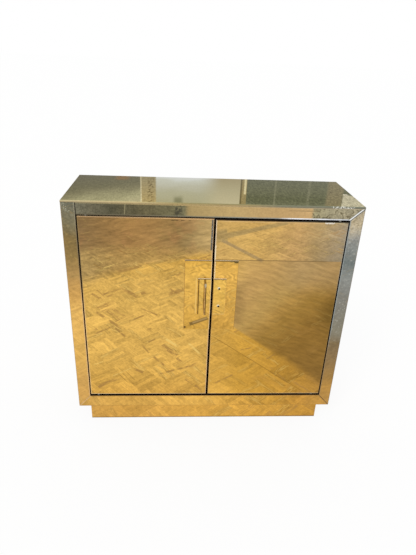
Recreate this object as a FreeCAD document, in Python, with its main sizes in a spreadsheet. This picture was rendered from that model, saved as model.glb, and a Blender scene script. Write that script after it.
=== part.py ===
import FreeCAD, Part
import os

import Sketcher

# Mirror-clad chiffonier: a low two-door cupboard on a recessed plinth.
#
# A board carcass with a front frame carries glued-on mirror glass: one plate on top, one on each
# side, four strips round the door opening and three plates round the plinth. Two inset doors hang on
# pivot hinges hidden in their top and bottom edges, and close on magnetic catches. Where the doors
# meet, each carries two stepped mirror plates. The left door has a blade pull screwed on from behind;
# the right door has only the two holes for its pull. One shelf rests on pins.
#
# Millimetres. +X runs to the right seen from the front, +Y to the back, +Z up. The origin is on the
# floor at the middle of the whole footprint, pull included.

DIMENSIONS = [
    # alias, value, what it is
    ("body_width", 914, "over the side mirrors"),
    ("body_depth", 305, "front strips to back panel, without the pull"),
    ("body_height", 845, "floor to top mirror"),
    ("side_strip_width", 41, "mirror strip on each side of the doors"),
    ("top_strip_height", 44, "mirror strip over the doors, top glass edge included"),
    ("bottom_strip_height", 45, "mirror strip under the doors"),
    ("glass_thick", 5, "mirror on sides, strips, doors and plinth"),
    ("top_glass_thick", 6, "mirror on top"),
    ("edge_polish", 1.5, "ground and polished edge of each mirror"),
    ("plate_polish", 1, "polished edge of the stepped plates"),
    ("glass_joint", 0.5, "joint between two mirrors"),
    ("board_thick", 19, "carcass, shelf and plinth boards"),
    ("frame_thick", 20, "front frame, front to back"),
    ("back_thick", 6, "back panel"),
    ("plinth_height", 80, "floor to carcass"),
    ("plinth_side_inset", 36, "carcass side to plinth side"),
    ("plinth_front_inset", 25, "carcass front to plinth front"),
    ("plinth_glass_lift", 1.5, "plinth mirrors clear the floor by this"),
    ("block_side", 38, "square glue block in each plinth corner"),
    ("block_height", 70, "glue block"),
    ("hinge_gap", 4, "door to opening, at the hinge side"),
    ("head_gap_left", 4, "left door to opening, at the top"),
    ("head_gap_right", 6, "right door to opening, at the top"),
    ("foot_gap", 9, "door to opening, at the bottom"),
    ("meeting_gap", 7, "door to door"),
    ("door_core_thick", 18, "board behind the door mirror"),
    ("plate_thick", 5, "each stepped plate"),
    ("outer_plate_width_left", 86, "large stepped plate on the left door"),
    ("outer_plate_width_right", 77, "large stepped plate on the right door"),
    ("outer_plate_height", 252, "large stepped plate"),
    ("inner_plate_width_left", 43, "small stepped plate on the left door"),
    ("inner_plate_width_right", 41, "small stepped plate on the right door"),
    ("inner_plate_height", 129, "small stepped plate"),
    ("plate_middle", 536, "floor to the middle of the plates"),
    ("pull_inset", 19.5, "meeting edge to the middle of the pull"),
    ("pull_projection", 22, "pull in front of the small plate"),
    ("pull_height", 113, "blade pull"),
    ("pull_middle", 537.5, "floor to the middle of the pull"),
    ("pull_blade_thick", 6, "blade pull"),
    ("pull_corner", 1.5, "rounding on the blade's outer corners"),
    ("pull_hole_spacing", 64, "between the two pull screws"),
    ("pull_hole_middle", 534, "floor to halfway between the two pull screws"),
    ("pull_hole_radius", 2.5, "hole through door and plates"),
    ("pull_screw_radius", 2, "machine screw"),
    ("pull_screw_bite", 12, "screw inside the blade"),
    ("pull_head_radius", 4, "pan head on the door's back"),
    ("pull_head_height", 2.4, "pan head on the door's back"),
    ("pivot_inset", 25, "door's hinge edge to the pivot"),
    ("pivot_radius", 2.5, "hinge pin"),
    ("pivot_clearance", 0.05, "pin to its hole, radial"),
    ("pivot_reach", 6.5, "pin inside the door"),
    ("pivot_well_depth", 10, "room for the pin in the door"),
    ("pivot_well_play", 0.5, "pin to its well in the door's board, radial"),
    ("leaf_length", 60, "hinge leaf"),
    ("leaf_width", 12, "hinge leaf"),
    ("leaf_thick", 2.5, "hinge leaf, let in flush"),
    ("leaf_end", 12, "leaf end to pivot"),
    ("leaf_screw_first", 22, "pivot to the first leaf screw"),
    ("leaf_screw_pitch", 17, "between leaf screws"),
    ("washer_radius", 5.5, "spacer washer round the pin"),
    ("washer_float", 0.2, "gap left between washer and door"),
    ("screw_radius", 1.6, "wood screw shank"),
    ("screw_head_radius", 3.2, "countersunk head"),
    ("screw_head_height", 1.8, "countersunk head"),
    ("screw_length", 15, "wood screw"),
    ("long_screw_length", 82, "plinth block to carcass floor"),
    ("catch_screw_length", 24, "catch housing to its wood block"),
    ("recess_length", 3.6, "cross recess in a screw head, tip to tip"),
    ("recess_width", 0.8, "cross recess in a screw head"),
    ("recess_depth", 1.1, "cross recess in a screw head"),
    ("dowel_radius", 4, "beech dowel"),
    ("dowel_length", 29, "beech dowel"),
    ("dowel_in_side", 11, "dowel inside the side board"),
    ("dowel_play", 0.05, "dowel to its hole, radial"),
    ("dowel_end_play", 1, "dowel to the bottom of its hole, at each end"),
    ("shelf_level", 440, "floor to the underside of the shelf"),
    ("shelf_play", 1, "shelf end to side board"),
    ("shelf_setback", 30, "front frame to shelf"),
    ("shelf_back_play", 4, "shelf to back panel"),
    ("pin_radius", 2.45, "shelf pin"),
    ("pin_hole_radius", 2.5, "hole for a shelf pin"),
    ("pin_hole_depth", 10, "hole for a shelf pin"),
    ("pin_end_play", 0.5, "pin to the bottom of its hole"),
    ("pin_reach", 9, "pin under the shelf"),
    ("pin_setback", 55, "frame or back panel to pin"),
    ("pin_pitch", 64, "between rows of pin holes"),
    ("catch_block_width", 160, "wood block that carries both catches"),
    ("catch_block_depth", 20, "front to back"),
    ("catch_drop", 38, "block below the carcass top"),
    ("catch_inset", 35, "cabinet middle to the middle of a catch"),
    ("catch_width", 42, "catch housing"),
    ("catch_depth", 18, "catch housing"),
    ("catch_height", 15, "catch housing"),
    ("catch_wall", 3, "catch housing round its magnet"),
    ("magnet_proud", 1, "magnet in front of its housing"),
    ("magnet_depth", 9, "magnet, front to back"),
    ("catch_screw_setback", 13.5, "magnet front to housing screw"),
    ("catch_screw_spread", 21, "between a housing's two screws"),
    ("catch_air", 0.5, "magnet to strike plate, door shut"),
    ("strike_width", 32, "strike plate"),
    ("strike_height", 12, "strike plate"),
    ("strike_thick", 1.5, "strike plate, let in flush"),
]

# Levels and faces that several pieces share, written as expressions on the sheet.
HALF = "Dims.body_width / 2"
PULL_REACH = "(2 * Dims.plate_thick + Dims.pull_projection)"
FRONT = f"({PULL_REACH} - Dims.body_depth) / 2"
BACK = f"({PULL_REACH} + Dims.body_depth) / 2"
CORE_HALF = f"({HALF} - Dims.glass_thick)"
SIDE_INNER = f"({CORE_HALF} - Dims.board_thick)"
OPENING_HALF = f"({HALF} - Dims.side_strip_width)"
CORE_TOP = "(Dims.body_height - Dims.top_glass_thick)"
OPENING_TOP = "(Dims.body_height - Dims.top_strip_height)"
OPENING_BOTTOM = "(Dims.plinth_height + Dims.bottom_strip_height)"
GLASS_BACK = f"({FRONT} + Dims.glass_thick)"
FRAME_BACK = f"({GLASS_BACK} + Dims.frame_thick)"
PANEL_BACK = f"({BACK} - Dims.back_thick)"
CEILING = f"({CORE_TOP} - Dims.board_thick)"
CARCASS_FLOOR = "(Dims.plinth_height + Dims.board_thick)"
DOOR_HINGE_EDGE = f"({OPENING_HALF} - Dims.hinge_gap)"
DOOR_MEETING_EDGE = "(Dims.meeting_gap / 2)"
DOOR_TOP = {side: f"({OPENING_TOP} - Dims.head_gap_{side})" for side in ("left", "right")}
DOOR_BOTTOM = f"({OPENING_BOTTOM} + Dims.foot_gap)"
DOOR_BACK = f"({GLASS_BACK} + Dims.door_core_thick)"
PIVOT_X = f"({DOOR_HINGE_EDGE} - Dims.pivot_inset)"
PIVOT_Y = f"(({FRONT} + {DOOR_BACK}) / 2)"
PLINTH_HALF = f"({HALF} - Dims.plinth_side_inset)"
PLINTH_FRONT = f"({FRONT} + Dims.plinth_front_inset)"
PLINTH_CORE_HALF = f"({PLINTH_HALF} - Dims.glass_thick)"
PLINTH_CORE_FRONT = f"({PLINTH_FRONT} + Dims.glass_thick)"
SMALL_PLATE_FRONT = f"({FRONT} - 2 * Dims.plate_thick)"
PULL_X = f"({DOOR_MEETING_EDGE} + Dims.pull_inset)"
PULL_SCREW_LEVELS = [f"Dims.pull_hole_middle {s} Dims.pull_hole_spacing / 2" for s in "+-"]
CATCH_BLOCK_BOTTOM = f"({CEILING} - Dims.catch_drop)"
MAGNET_FRONT = f"({DOOR_BACK} + Dims.catch_air)"

# Where dowels and back screws stand, as shares of the width or depth that they are spread over.
DOWEL_SHARES = (0.15, 0.5, 0.85)
BACK_SCREW_SHARES = (-0.7, -0.35, 0, 0.35, 0.7)

SIDES = (("left", -1), ("right", 1))
SAME_PLACE = 0.01  # two coordinates closer than this are one

doc = FreeCAD.newDocument("chiffonier")
sheet = doc.addObject("Spreadsheet::Sheet", "Dims")
for row, (alias, value, meaning) in enumerate(DIMENSIONS, start=1):
    sheet.set(f"A{row}", alias)
    sheet.set(f"B{row}", str(value))
    sheet.setAlias(f"B{row}", alias)
    sheet.set(f"C{row}", meaning)
doc.recompute()

subparts = []


def number(expression):
    """What an expression on the sheet comes to."""
    return float(sheet.evalExpression(expression))


def keep(obj, label):
    """Marks an object as a sub-part, under the name its file gets."""
    obj.Label = label
    subparts.append(obj)
    return obj


def bind(obj, **expressions):
    """Binds properties to the sheet; x, y and z are the placement."""
    for name, expression in expressions.items():
        path = f"Placement.Base.{name}" if name in ("x", "y", "z") else name
        obj.setExpression(path, expression)
    return obj


def on_side(sign, inner, outer):
    """The low and high X of something between two distances from the middle plane."""
    return (inner, outer) if sign > 0 else (f"-({outer})", f"-({inner})")


def at_side(sign, distance):
    """The X of something at a distance from the middle plane."""
    return distance if sign > 0 else f"-({distance})"


# ---------------------------------------------------------------- shapes the pieces are made of


def board(name, x, y, z):
    """A box between pairs of expressions."""
    box = doc.addObject("Part::Box", name)
    size = {p: f"({b}) - ({a})" for p, (a, b) in zip(("Length", "Width", "Height"), (x, y, z))}
    return bind(box, x=x[0], y=y[0], z=z[0], **size)


def rod(name, radius, length, x, y, z, along="+Z"):
    """A cylinder that starts at a point and runs along an axis."""
    cylinder = doc.addObject("Part::Cylinder", name)
    cylinder.Placement.Rotation = direction(along)
    return bind(cylinder, Radius=radius, Height=length, x=x, y=y, z=z)


def direction(along):
    """The rotation that turns +Z to a signed axis."""
    axis = {"X": (1, 0, 0), "Y": (0, 1, 0), "Z": (0, 0, 1)}[along[1]]
    vector = FreeCAD.Vector(*axis) * (1 if along[0] == "+" else -1)
    return FreeCAD.Rotation(FreeCAD.Vector(0, 0, 1), vector)


def fused(name, parts):
    """Several shapes as one."""
    if len(parts) == 1:
        return parts[0]
    union = doc.addObject("Part::MultiFuse", name)
    union.Shapes = parts
    return union


def cut(name, base, tools):
    """A shape with others taken out of it."""
    if not tools:
        return base
    result = doc.addObject("Part::Cut", name)
    result.Base = base
    result.Tool = fused(f"{name}_tools", tools)
    return result


def grouped(name, parts):
    """Separate solids kept in one node."""
    group = doc.addObject("Part::Compound", name)
    group.Links = parts
    return group


recesses = {}  # the cross of each screw, by the screw's name


def cross_recess(name, x, y, z, along):
    """The cross in the head of a screw that runs along Y or Z; the head's face is at the point."""
    level = y if along[1] == "Y" else z
    bottom = f"({level}) {along[0]} Dims.recess_depth"
    deep = (level, bottom) if along[0] == "+" else (bottom, level)
    arms = []
    for long_way, short_way in (("recess_length", "recess_width"), ("recess_width", "recess_length")):
        x_span = centred(x, f"Dims.{long_way}")
        arm_name = f"{name}_{long_way}"
        if along[1] == "Y":
            arms.append(board(arm_name, x_span, deep, centred(z, f"Dims.{short_way}")))
        else:
            arms.append(board(arm_name, x_span, centred(y, f"Dims.{short_way}"), deep))
    return arms


def centred(middle, size):
    """The low and high of something of a size about its middle."""
    return (f"({middle}) - {size} / 2", f"({middle}) + {size} / 2")


def screw_group(name, screws):
    """Screws as one node, each with the cross in its head."""
    return grouped(name, [cut(f"{s.Name}_driven", s, recesses[s.Name]) for s in screws])


def wood_screw(name, x, y, z, along, length="Dims.screw_length"):
    """A countersunk screw: its head's face is at the point, and it runs along an axis.

    What holds the screw is cut with this plain solid; screw_group cuts the cross into its head.
    """
    head = doc.addObject("Part::Cone", f"{name}_head")
    head.Placement.Rotation = direction(along)
    bind(
        head,
        Radius1="Dims.screw_head_radius",
        Radius2="Dims.screw_radius",
        Height="Dims.screw_head_height",
        x=x,
        y=y,
        z=z,
    )
    shank = rod(f"{name}_shank", "Dims.screw_radius", length, x, y, z, along)
    recesses[name] = cross_recess(name, x, y, z, along)
    return fused(name, [head, shank])


def origin_plane(body, role):
    """One of a body's own origin planes."""
    return next(o for o in body.Origin.OriginFeatures if o.Role == role)


def outline_sketch(body, plane, outline, level, holes=(), hole_radius=None):
    """A closed polygon, with round holes, whose points are all bound to the sheet."""
    sketch = body.newObject("Sketcher::SketchObject", f"{body.Name}_outline")
    sketch.AttachmentSupport = [(origin_plane(body, plane), "")]
    sketch.MapMode = "FlatFace"
    sketch.setExpression("AttachmentOffset.Base.z", level)
    points = [FreeCAD.Vector(number(u), number(v), 0) for u, v in outline]
    corners = len(points)
    for i in range(corners):
        sketch.addGeometry(Part.LineSegment(points[i], points[(i + 1) % corners]), False)
    for i in range(corners):
        sketch.addConstraint(Sketcher.Constraint("Coincident", i, 2, (i + 1) % corners, 1))
        pin_point(sketch, i, 1, outline[i])
    for u, v in holes:
        centre = FreeCAD.Vector(number(u), number(v), 0)
        up = FreeCAD.Vector(0, 0, 1)
        circle = sketch.addGeometry(Part.Circle(centre, up, number(hole_radius)), False)
        pin_point(sketch, circle, 3, (u, v))
        radius = sketch.addConstraint(Sketcher.Constraint("Radius", circle, number(hole_radius)))
        sketch.setExpression(f"Constraints[{radius}]", hole_radius)
    return sketch


def pin_point(sketch, geometry, position, place):
    """Fixes one sketch point at a pair of expressions, measured from the sketch's origin."""
    for kind, expression in zip(("DistanceX", "DistanceY"), place):
        made = Sketcher.Constraint(kind, -1, 1, geometry, position, number(expression))
        index = sketch.addConstraint(made)
        sketch.setExpression(f"Constraints[{index}]", expression)


def glass(
    label,
    plane,
    outline,
    level,
    face,
    thickness="Dims.glass_thick",
    polish="Dims.edge_polish",
    holes=(),
):
    """A mirror plate: a padded outline, with the straight edges of its show face polished.

    level is where the back of the glass lies along the sketch's normal, and face is the show
    face's outward axis.
    """
    body = doc.addObject("PartDesign::Body", label)
    sketch = outline_sketch(body, plane, outline, level, holes, "Dims.pull_hole_radius")
    pad = body.newObject("PartDesign::Pad", f"{label}_pad")
    pad.Profile = sketch
    pad.setExpression("Length", thickness)
    normal = {"XY_Plane": "+Z", "XZ_Plane": "-Y", "YZ_Plane": "+X"}[plane]
    pad.Reversed = face != normal
    doc.recompute()
    chamfer = body.newObject("PartDesign::Chamfer", f"{label}_polish")
    chamfer.Base = (pad, show_edges(pad.Shape, face))
    chamfer.setExpression("Size", polish)
    body.Tip = chamfer
    return keep(body, label)


def show_edges(shape, face):
    """The names of the straight edges round the face that looks along an axis."""
    axis = direction(face).multVec(FreeCAD.Vector(0, 0, 1))
    show = max(shape.Faces, key=lambda f: f.CenterOfMass.dot(axis))
    edges = [e for e in show.Edges if isinstance(e.Curve, Part.Line)]
    same = [i for i, e in enumerate(shape.Edges, start=1) if any(e.isSame(s) for s in edges)]
    return [f"Edge{i}" for i in same]


# ---------------------------------------------------------------- hinges


def leaf_box(name, sign, low, high):
    """The room that a hinge leaf takes in a door's or the frame's edge."""
    outer = f"{PIVOT_X} + Dims.leaf_end"
    x = on_side(sign, f"{outer} - Dims.leaf_length", outer)
    half = "Dims.leaf_width / 2"
    return board(name, x, (f"{PIVOT_Y} - {half}", f"{PIVOT_Y} + {half}"), (low, high))


def leaf_screws(name, sign, z, along):
    """The two countersunk screws of one leaf."""
    reach = ["Dims.leaf_screw_first", "(Dims.leaf_screw_first + Dims.leaf_screw_pitch)"]
    return [
        wood_screw(f"{name}_{i}", at_side(sign, f"({PIVOT_X} - {r})"), PIVOT_Y, z, along)
        for i, r in enumerate(reach, start=1)
    ]


def pivot_hinge(side, sign, end):
    """One pivot hinge: a frame leaf with its pin, a door leaf with its eye, and a washer between.

    Returns the solids that the frame rail and the door core make room for, and the screws.
    """
    name = f"hinge_{side}_{end}"
    up = 1 if end == "upper" else -1
    frame_edge = OPENING_TOP if up > 0 else OPENING_BOTTOM
    door_edge = DOOR_TOP[side] if up > 0 else DOOR_BOTTOM
    gap = f"Dims.head_gap_{side}" if up > 0 else "Dims.foot_gap"
    into_frame, into_door = ("+Z", "-Z") if up > 0 else ("-Z", "+Z")
    x = at_side(sign, PIVOT_X)

    def span(edge, depth):
        """A leaf's low and high Z: depth is positive upwards."""
        far = f"({edge} + {depth})"
        return (edge, far) if not depth.startswith("-") else (far, edge)

    thick = "Dims.leaf_thick"
    frame_room = span(frame_edge, thick if up > 0 else f"-{thick}")
    door_room = span(door_edge, f"-{thick}" if up > 0 else thick)

    frame_screws = leaf_screws(f"{name}_frame_screw", sign, frame_edge, into_frame)
    leaf = leaf_box(f"{name}_frame_plate", sign, *frame_room)
    pin_length = f"Dims.leaf_thick + {gap} + Dims.pivot_reach"
    pin_root = frame_room[1] if up > 0 else frame_room[0]
    pin = rod(f"{name}_pin", "Dims.pivot_radius", pin_length, x, PIVOT_Y, pin_root, into_door)
    solid_leaf = fused(f"{name}_frame_solid", [leaf, pin])
    keep(cut(f"{name}_frame_cut", solid_leaf, frame_screws), f"{name}_frame_leaf")

    door_screws = leaf_screws(f"{name}_door_screw", sign, door_edge, into_door)
    eye_radius = "Dims.pivot_radius + Dims.pivot_clearance"
    eye = rod(f"{name}_eye", eye_radius, "Dims.leaf_thick", x, PIVOT_Y, door_edge, into_door)
    door_leaf = leaf_box(f"{name}_door_plate", sign, *door_room)
    keep(cut(f"{name}_door_cut", door_leaf, [eye, *door_screws]), f"{name}_door_leaf")

    height = f"{gap} - Dims.washer_float"
    disc = rod(f"{name}_disc", "Dims.washer_radius", height, x, PIVOT_Y, frame_edge, into_door)
    hole = rod(f"{name}_disc_hole", eye_radius, height, x, PIVOT_Y, frame_edge, into_door)
    washers.append(cut(f"{name}_washer", disc, [hole]))

    frame_room_box = leaf_box(f"{name}_frame_room", sign, *frame_room)
    door_room_box = leaf_box(f"{name}_door_room", sign, *door_room)
    well_radius = "Dims.pivot_radius + Dims.pivot_well_play"
    depth = "Dims.pivot_well_depth"
    well = rod(f"{name}_well", well_radius, depth, x, PIVOT_Y, door_edge, into_door)
    return [frame_room_box], frame_screws, [door_room_box, well], door_screws


hinge_rooms = {"frame_upper": [], "frame_lower": [], "left": [], "right": []}
hinge_screws = {"frame": [], "left": [], "right": []}
washers = []
for side, sign in SIDES:
    for end in ("upper", "lower"):
        frame_room, frame_screws, door_room, door_screws = pivot_hinge(side, sign, end)
        hinge_rooms[f"frame_{end}"] += frame_room + frame_screws
        hinge_rooms[side] += door_room + door_screws
        hinge_screws["frame"] += frame_screws
        hinge_screws[side] += door_screws
keep(grouped("hinge_washer_group", washers), "hinge_washers")

# ---------------------------------------------------------------- front frame and its mirror strips

FRAME_Y = (GLASS_BACK, FRAME_BACK)
FRAME_RAILS = {
    "top": (OPENING_TOP, CORE_TOP, "frame_upper"),
    "bottom": ("Dims.plinth_height", OPENING_BOTTOM, "frame_lower"),
}
for side, sign in SIDES:
    stile = board(
        f"stile_{side}",
        on_side(sign, OPENING_HALF, CORE_HALF),
        FRAME_Y,
        ("Dims.plinth_height", CORE_TOP),
    )
    keep(stile, f"face_frame_stile_{side}")
for place, (low, high, rooms) in FRAME_RAILS.items():
    rail = board(f"rail_{place}", (f"-{OPENING_HALF}", OPENING_HALF), FRAME_Y, (low, high))
    keep(cut(f"rail_{place}_cut", rail, hinge_rooms[rooms]), f"face_frame_rail_{place}")
keep(screw_group("frame_hinge_screws", hinge_screws["frame"]), "hinge_screws_frame")

# The glass back lies on the sketch's normal, which is -Y, so a level there is minus a Y.
STRIP_LEVEL = f"-({GLASS_BACK})"
JOINT = "Dims.glass_joint / 2"
STRIP_TOP = f"({CORE_TOP} - {JOINT})"
STRIP_FOOT = "Dims.plinth_height"
# The left stile runs up to the top glass and the top rail butts against it. The other three corners
# are mitred: each strip keeps half a joint clear of the mitre, measured along its own edge.
glass(
    "mirror_stile_left",
    "XZ_Plane",
    [
        (f"-({HALF})", f"{STRIP_FOOT} + {JOINT}"),
        (f"-{OPENING_HALF}", f"{OPENING_BOTTOM} + {JOINT}"),
        (f"-{OPENING_HALF}", STRIP_TOP),
        (f"-({HALF})", STRIP_TOP),
    ],
    STRIP_LEVEL,
    "-Y",
)
glass(
    "mirror_stile_right",
    "XZ_Plane",
    [
        (HALF, f"{STRIP_FOOT} + {JOINT}"),
        (HALF, f"{CORE_TOP} - Dims.glass_joint"),
        (OPENING_HALF, f"{OPENING_TOP} - {JOINT}"),
        (OPENING_HALF, f"{OPENING_BOTTOM} + {JOINT}"),
    ],
    STRIP_LEVEL,
    "-Y",
)
glass(
    "mirror_rail_top",
    "XZ_Plane",
    [
        (f"-{OPENING_HALF} + Dims.glass_joint", STRIP_TOP),
        (f"-{OPENING_HALF} + Dims.glass_joint", OPENING_TOP),
        (f"{OPENING_HALF} - {JOINT}", OPENING_TOP),
        (f"{HALF} - Dims.glass_joint", STRIP_TOP),
    ],
    STRIP_LEVEL,
    "-Y",
)
glass(
    "mirror_rail_bottom",
    "XZ_Plane",
    [
        (f"-({HALF}) + {JOINT}", STRIP_FOOT),
        (f"{HALF} - {JOINT}", STRIP_FOOT),
        (f"{OPENING_HALF} - {JOINT}", OPENING_BOTTOM),
        (f"-{OPENING_HALF} + {JOINT}", OPENING_BOTTOM),
    ],
    STRIP_LEVEL,
    "-Y",
)

# ---------------------------------------------------------------- top and side mirrors


def rectangle(u, v):
    """The corners of a rectangle between pairs of expressions."""
    return [(u[0], v[0]), (u[1], v[0]), (u[1], v[1]), (u[0], v[1])]


glass(
    "mirror_top",
    "XY_Plane",
    rectangle((f"-({HALF})", HALF), (FRONT, BACK)),
    CORE_TOP,
    "+Z",
    thickness="Dims.top_glass_thick",
)
for side, sign in SIDES:
    glass(
        f"mirror_side_{side}",
        "YZ_Plane",
        rectangle((f"{GLASS_BACK} + {JOINT}", BACK), ("Dims.plinth_height", STRIP_TOP)),
        at_side(sign, CORE_HALF),
        "+X" if sign > 0 else "-X",
    )

# ---------------------------------------------------------------- carcass

CARCASS_Y = (FRAME_BACK, PANEL_BACK)
DOWEL_YS = [f"{FRAME_BACK} + ({PANEL_BACK} - {FRAME_BACK}) * {share}" for share in DOWEL_SHARES]
PANEL_MIDDLES = {
    "top": f"({CORE_TOP} - Dims.board_thick / 2)",
    "bottom": "(Dims.plinth_height + Dims.board_thick / 2)",
}
PIN_YS = [f"{FRAME_BACK} + Dims.pin_setback", f"{PANEL_BACK} - Dims.pin_setback"]
PIN_LEVEL = "(Dims.shelf_level - Dims.pin_radius)"


def dowel_set(name, sign, place, radius, over):
    """Three dowels, or their holes when over is how much longer they are at each end."""
    length = f"Dims.dowel_length + 2 * {over}"
    near = f"({SIDE_INNER} + Dims.dowel_in_side + {over})"
    along = "-X" if sign > 0 else "+X"
    x = at_side(sign, near)
    return [
        rod(f"{name}_{i}", radius, length, x, y, PANEL_MIDDLES[place], along)
        for i, y in enumerate(DOWEL_YS, start=1)
    ]


dowels = []
dowel_holes = {}
for side, sign in SIDES:
    for place in PANEL_MIDDLES:
        name = f"dowel_{side}_{place}"
        dowels += dowel_set(name, sign, place, "Dims.dowel_radius", "0")
        hole = "Dims.dowel_radius + Dims.dowel_play"
        over = "Dims.dowel_end_play"
        dowel_holes[side, place] = dowel_set(f"{name}_hole", sign, place, hole, over)
keep(grouped("dowel_group", dowels), "carcass_dowels")

shelf_pins = []
for side, sign in SIDES:
    outwards = "+X" if sign > 0 else "-X"
    inwards = "-X" if sign > 0 else "+X"
    pin_holes = [
        rod(
            f"pin_hole_{side}_{row}_{i}",
            "Dims.pin_hole_radius",
            "Dims.pin_hole_depth",
            at_side(sign, SIDE_INNER),
            y,
            f"{PIN_LEVEL} + {row} * Dims.pin_pitch",
            outwards,
        )
        for row in (-1, 0, 1)
        for i, y in enumerate(PIN_YS, start=1)
    ]
    shelf_pins += [
        rod(
            f"pin_{side}_{i}",
            "Dims.pin_radius",
            "Dims.pin_reach + Dims.pin_hole_depth - Dims.pin_end_play",
            at_side(sign, f"({SIDE_INNER} + Dims.pin_hole_depth - Dims.pin_end_play)"),
            y,
            PIN_LEVEL,
            inwards,
        )
        for i, y in enumerate(PIN_YS, start=1)
    ]
    side_board = board(
        f"side_{side}",
        on_side(sign, SIDE_INNER, CORE_HALF),
        CARCASS_Y,
        ("Dims.plinth_height", CORE_TOP),
    )
    holes = pin_holes + dowel_holes[side, "top"] + dowel_holes[side, "bottom"]
    keep(cut(f"side_{side}_cut", side_board, holes), f"carcass_side_{side}")
keep(grouped("pin_group", shelf_pins), "shelf_pins")

shelf = board(
    "shelf_board",
    (f"-({SIDE_INNER} - Dims.shelf_play)", f"{SIDE_INNER} - Dims.shelf_play"),
    (f"{FRAME_BACK} + Dims.shelf_setback", f"{PANEL_BACK} - Dims.shelf_back_play"),
    ("Dims.shelf_level", "Dims.shelf_level + Dims.board_thick"),
)
keep(shelf, "shelf")

# ---------------------------------------------------------------- plinth

BOARD = "Dims.board_thick"
PLINTH_Z = ("0", "Dims.plinth_height")
PLINTH_INNER_HALF = f"({PLINTH_CORE_HALF} - {BOARD})"
PLINTH_YS = {
    "front": (PLINTH_CORE_FRONT, f"({PLINTH_CORE_FRONT} + {BOARD})"),
    "back": (f"({BACK} - {BOARD})", BACK),
}
for place, y in PLINTH_YS.items():
    x = (f"-{PLINTH_CORE_HALF}", PLINTH_CORE_HALF)
    keep(board(f"plinth_{place}", x, y, PLINTH_Z), f"plinth_board_{place}")
block_screws = []
blocks = []
for side, sign in SIDES:
    x = on_side(sign, PLINTH_INNER_HALF, PLINTH_CORE_HALF)
    y = (PLINTH_YS["front"][1], PLINTH_YS["back"][0])
    keep(board(f"plinth_{side}", x, y, PLINTH_Z), f"plinth_board_{side}")
    for place in PLINTH_YS:
        start = y[0] if place == "front" else f"({y[1]} - Dims.block_side)"
        middle_x = at_side(sign, f"({PLINTH_INNER_HALF} - Dims.block_side / 2)")
        middle_y = f"({start} + Dims.block_side / 2)"
        foot = "(Dims.plinth_height - Dims.block_height)"
        screw = wood_screw(
            f"block_screw_{side}_{place}",
            middle_x,
            middle_y,
            foot,
            "+Z",
            length="Dims.long_screw_length",
        )
        block = board(
            f"block_{side}_{place}",
            on_side(sign, f"({PLINTH_INNER_HALF} - Dims.block_side)", PLINTH_INNER_HALF),
            (start, f"({start} + Dims.block_side)"),
            (foot, "Dims.plinth_height"),
        )
        block_screws.append(screw)
        blocks.append(cut(f"block_cut_{side}_{place}", block, [screw]))
keep(grouped("block_group", blocks), "plinth_glue_blocks")
keep(screw_group("block_screw_group", block_screws), "plinth_screws")

PLINTH_GLASS_Z = ("Dims.plinth_glass_lift", "Dims.plinth_height - Dims.glass_joint")
glass(
    "plinth_mirror_front",
    "XZ_Plane",
    rectangle((f"-{PLINTH_HALF}", PLINTH_HALF), PLINTH_GLASS_Z),
    f"-({PLINTH_CORE_FRONT})",
    "-Y",
)
for side, sign in SIDES:
    glass(
        f"plinth_mirror_{side}",
        "YZ_Plane",
        rectangle((f"{PLINTH_CORE_FRONT} + {JOINT}", BACK), PLINTH_GLASS_Z),
        at_side(sign, PLINTH_CORE_HALF),
        "+X" if sign > 0 else "-X",
    )

# ---------------------------------------------------------------- carcass top, floor and back

BACK_SCREW_XS = [f"{CORE_HALF} * {share}" for share in BACK_SCREW_SHARES]
back_screws = {
    place: [
        wood_screw(f"back_screw_{place}_{i}", x, BACK, z, "-Y")
        for i, x in enumerate(BACK_SCREW_XS, start=1)
    ]
    for place, z in PANEL_MIDDLES.items()
}
all_back_screws = back_screws["top"] + back_screws["bottom"]
back_panel = board(
    "back",
    (f"-{CORE_HALF}", CORE_HALF),
    (PANEL_BACK, BACK),
    ("Dims.plinth_height", CORE_TOP),
)
keep(cut("back_cut", back_panel, all_back_screws), "back_panel")
keep(screw_group("back_screw_group", all_back_screws), "back_panel_screws")

for place, z in (("top", (CEILING, CORE_TOP)), ("bottom", ("Dims.plinth_height", CARCASS_FLOOR))):
    panel = board(f"panel_{place}", (f"-{SIDE_INNER}", SIDE_INNER), CARCASS_Y, z)
    holes = dowel_holes["left", place] + dowel_holes["right", place] + back_screws[place]
    if place == "bottom":
        holes += block_screws
    keep(cut(f"panel_{place}_cut", panel, holes), f"carcass_panel_{place}")

# ---------------------------------------------------------------- doors


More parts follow.
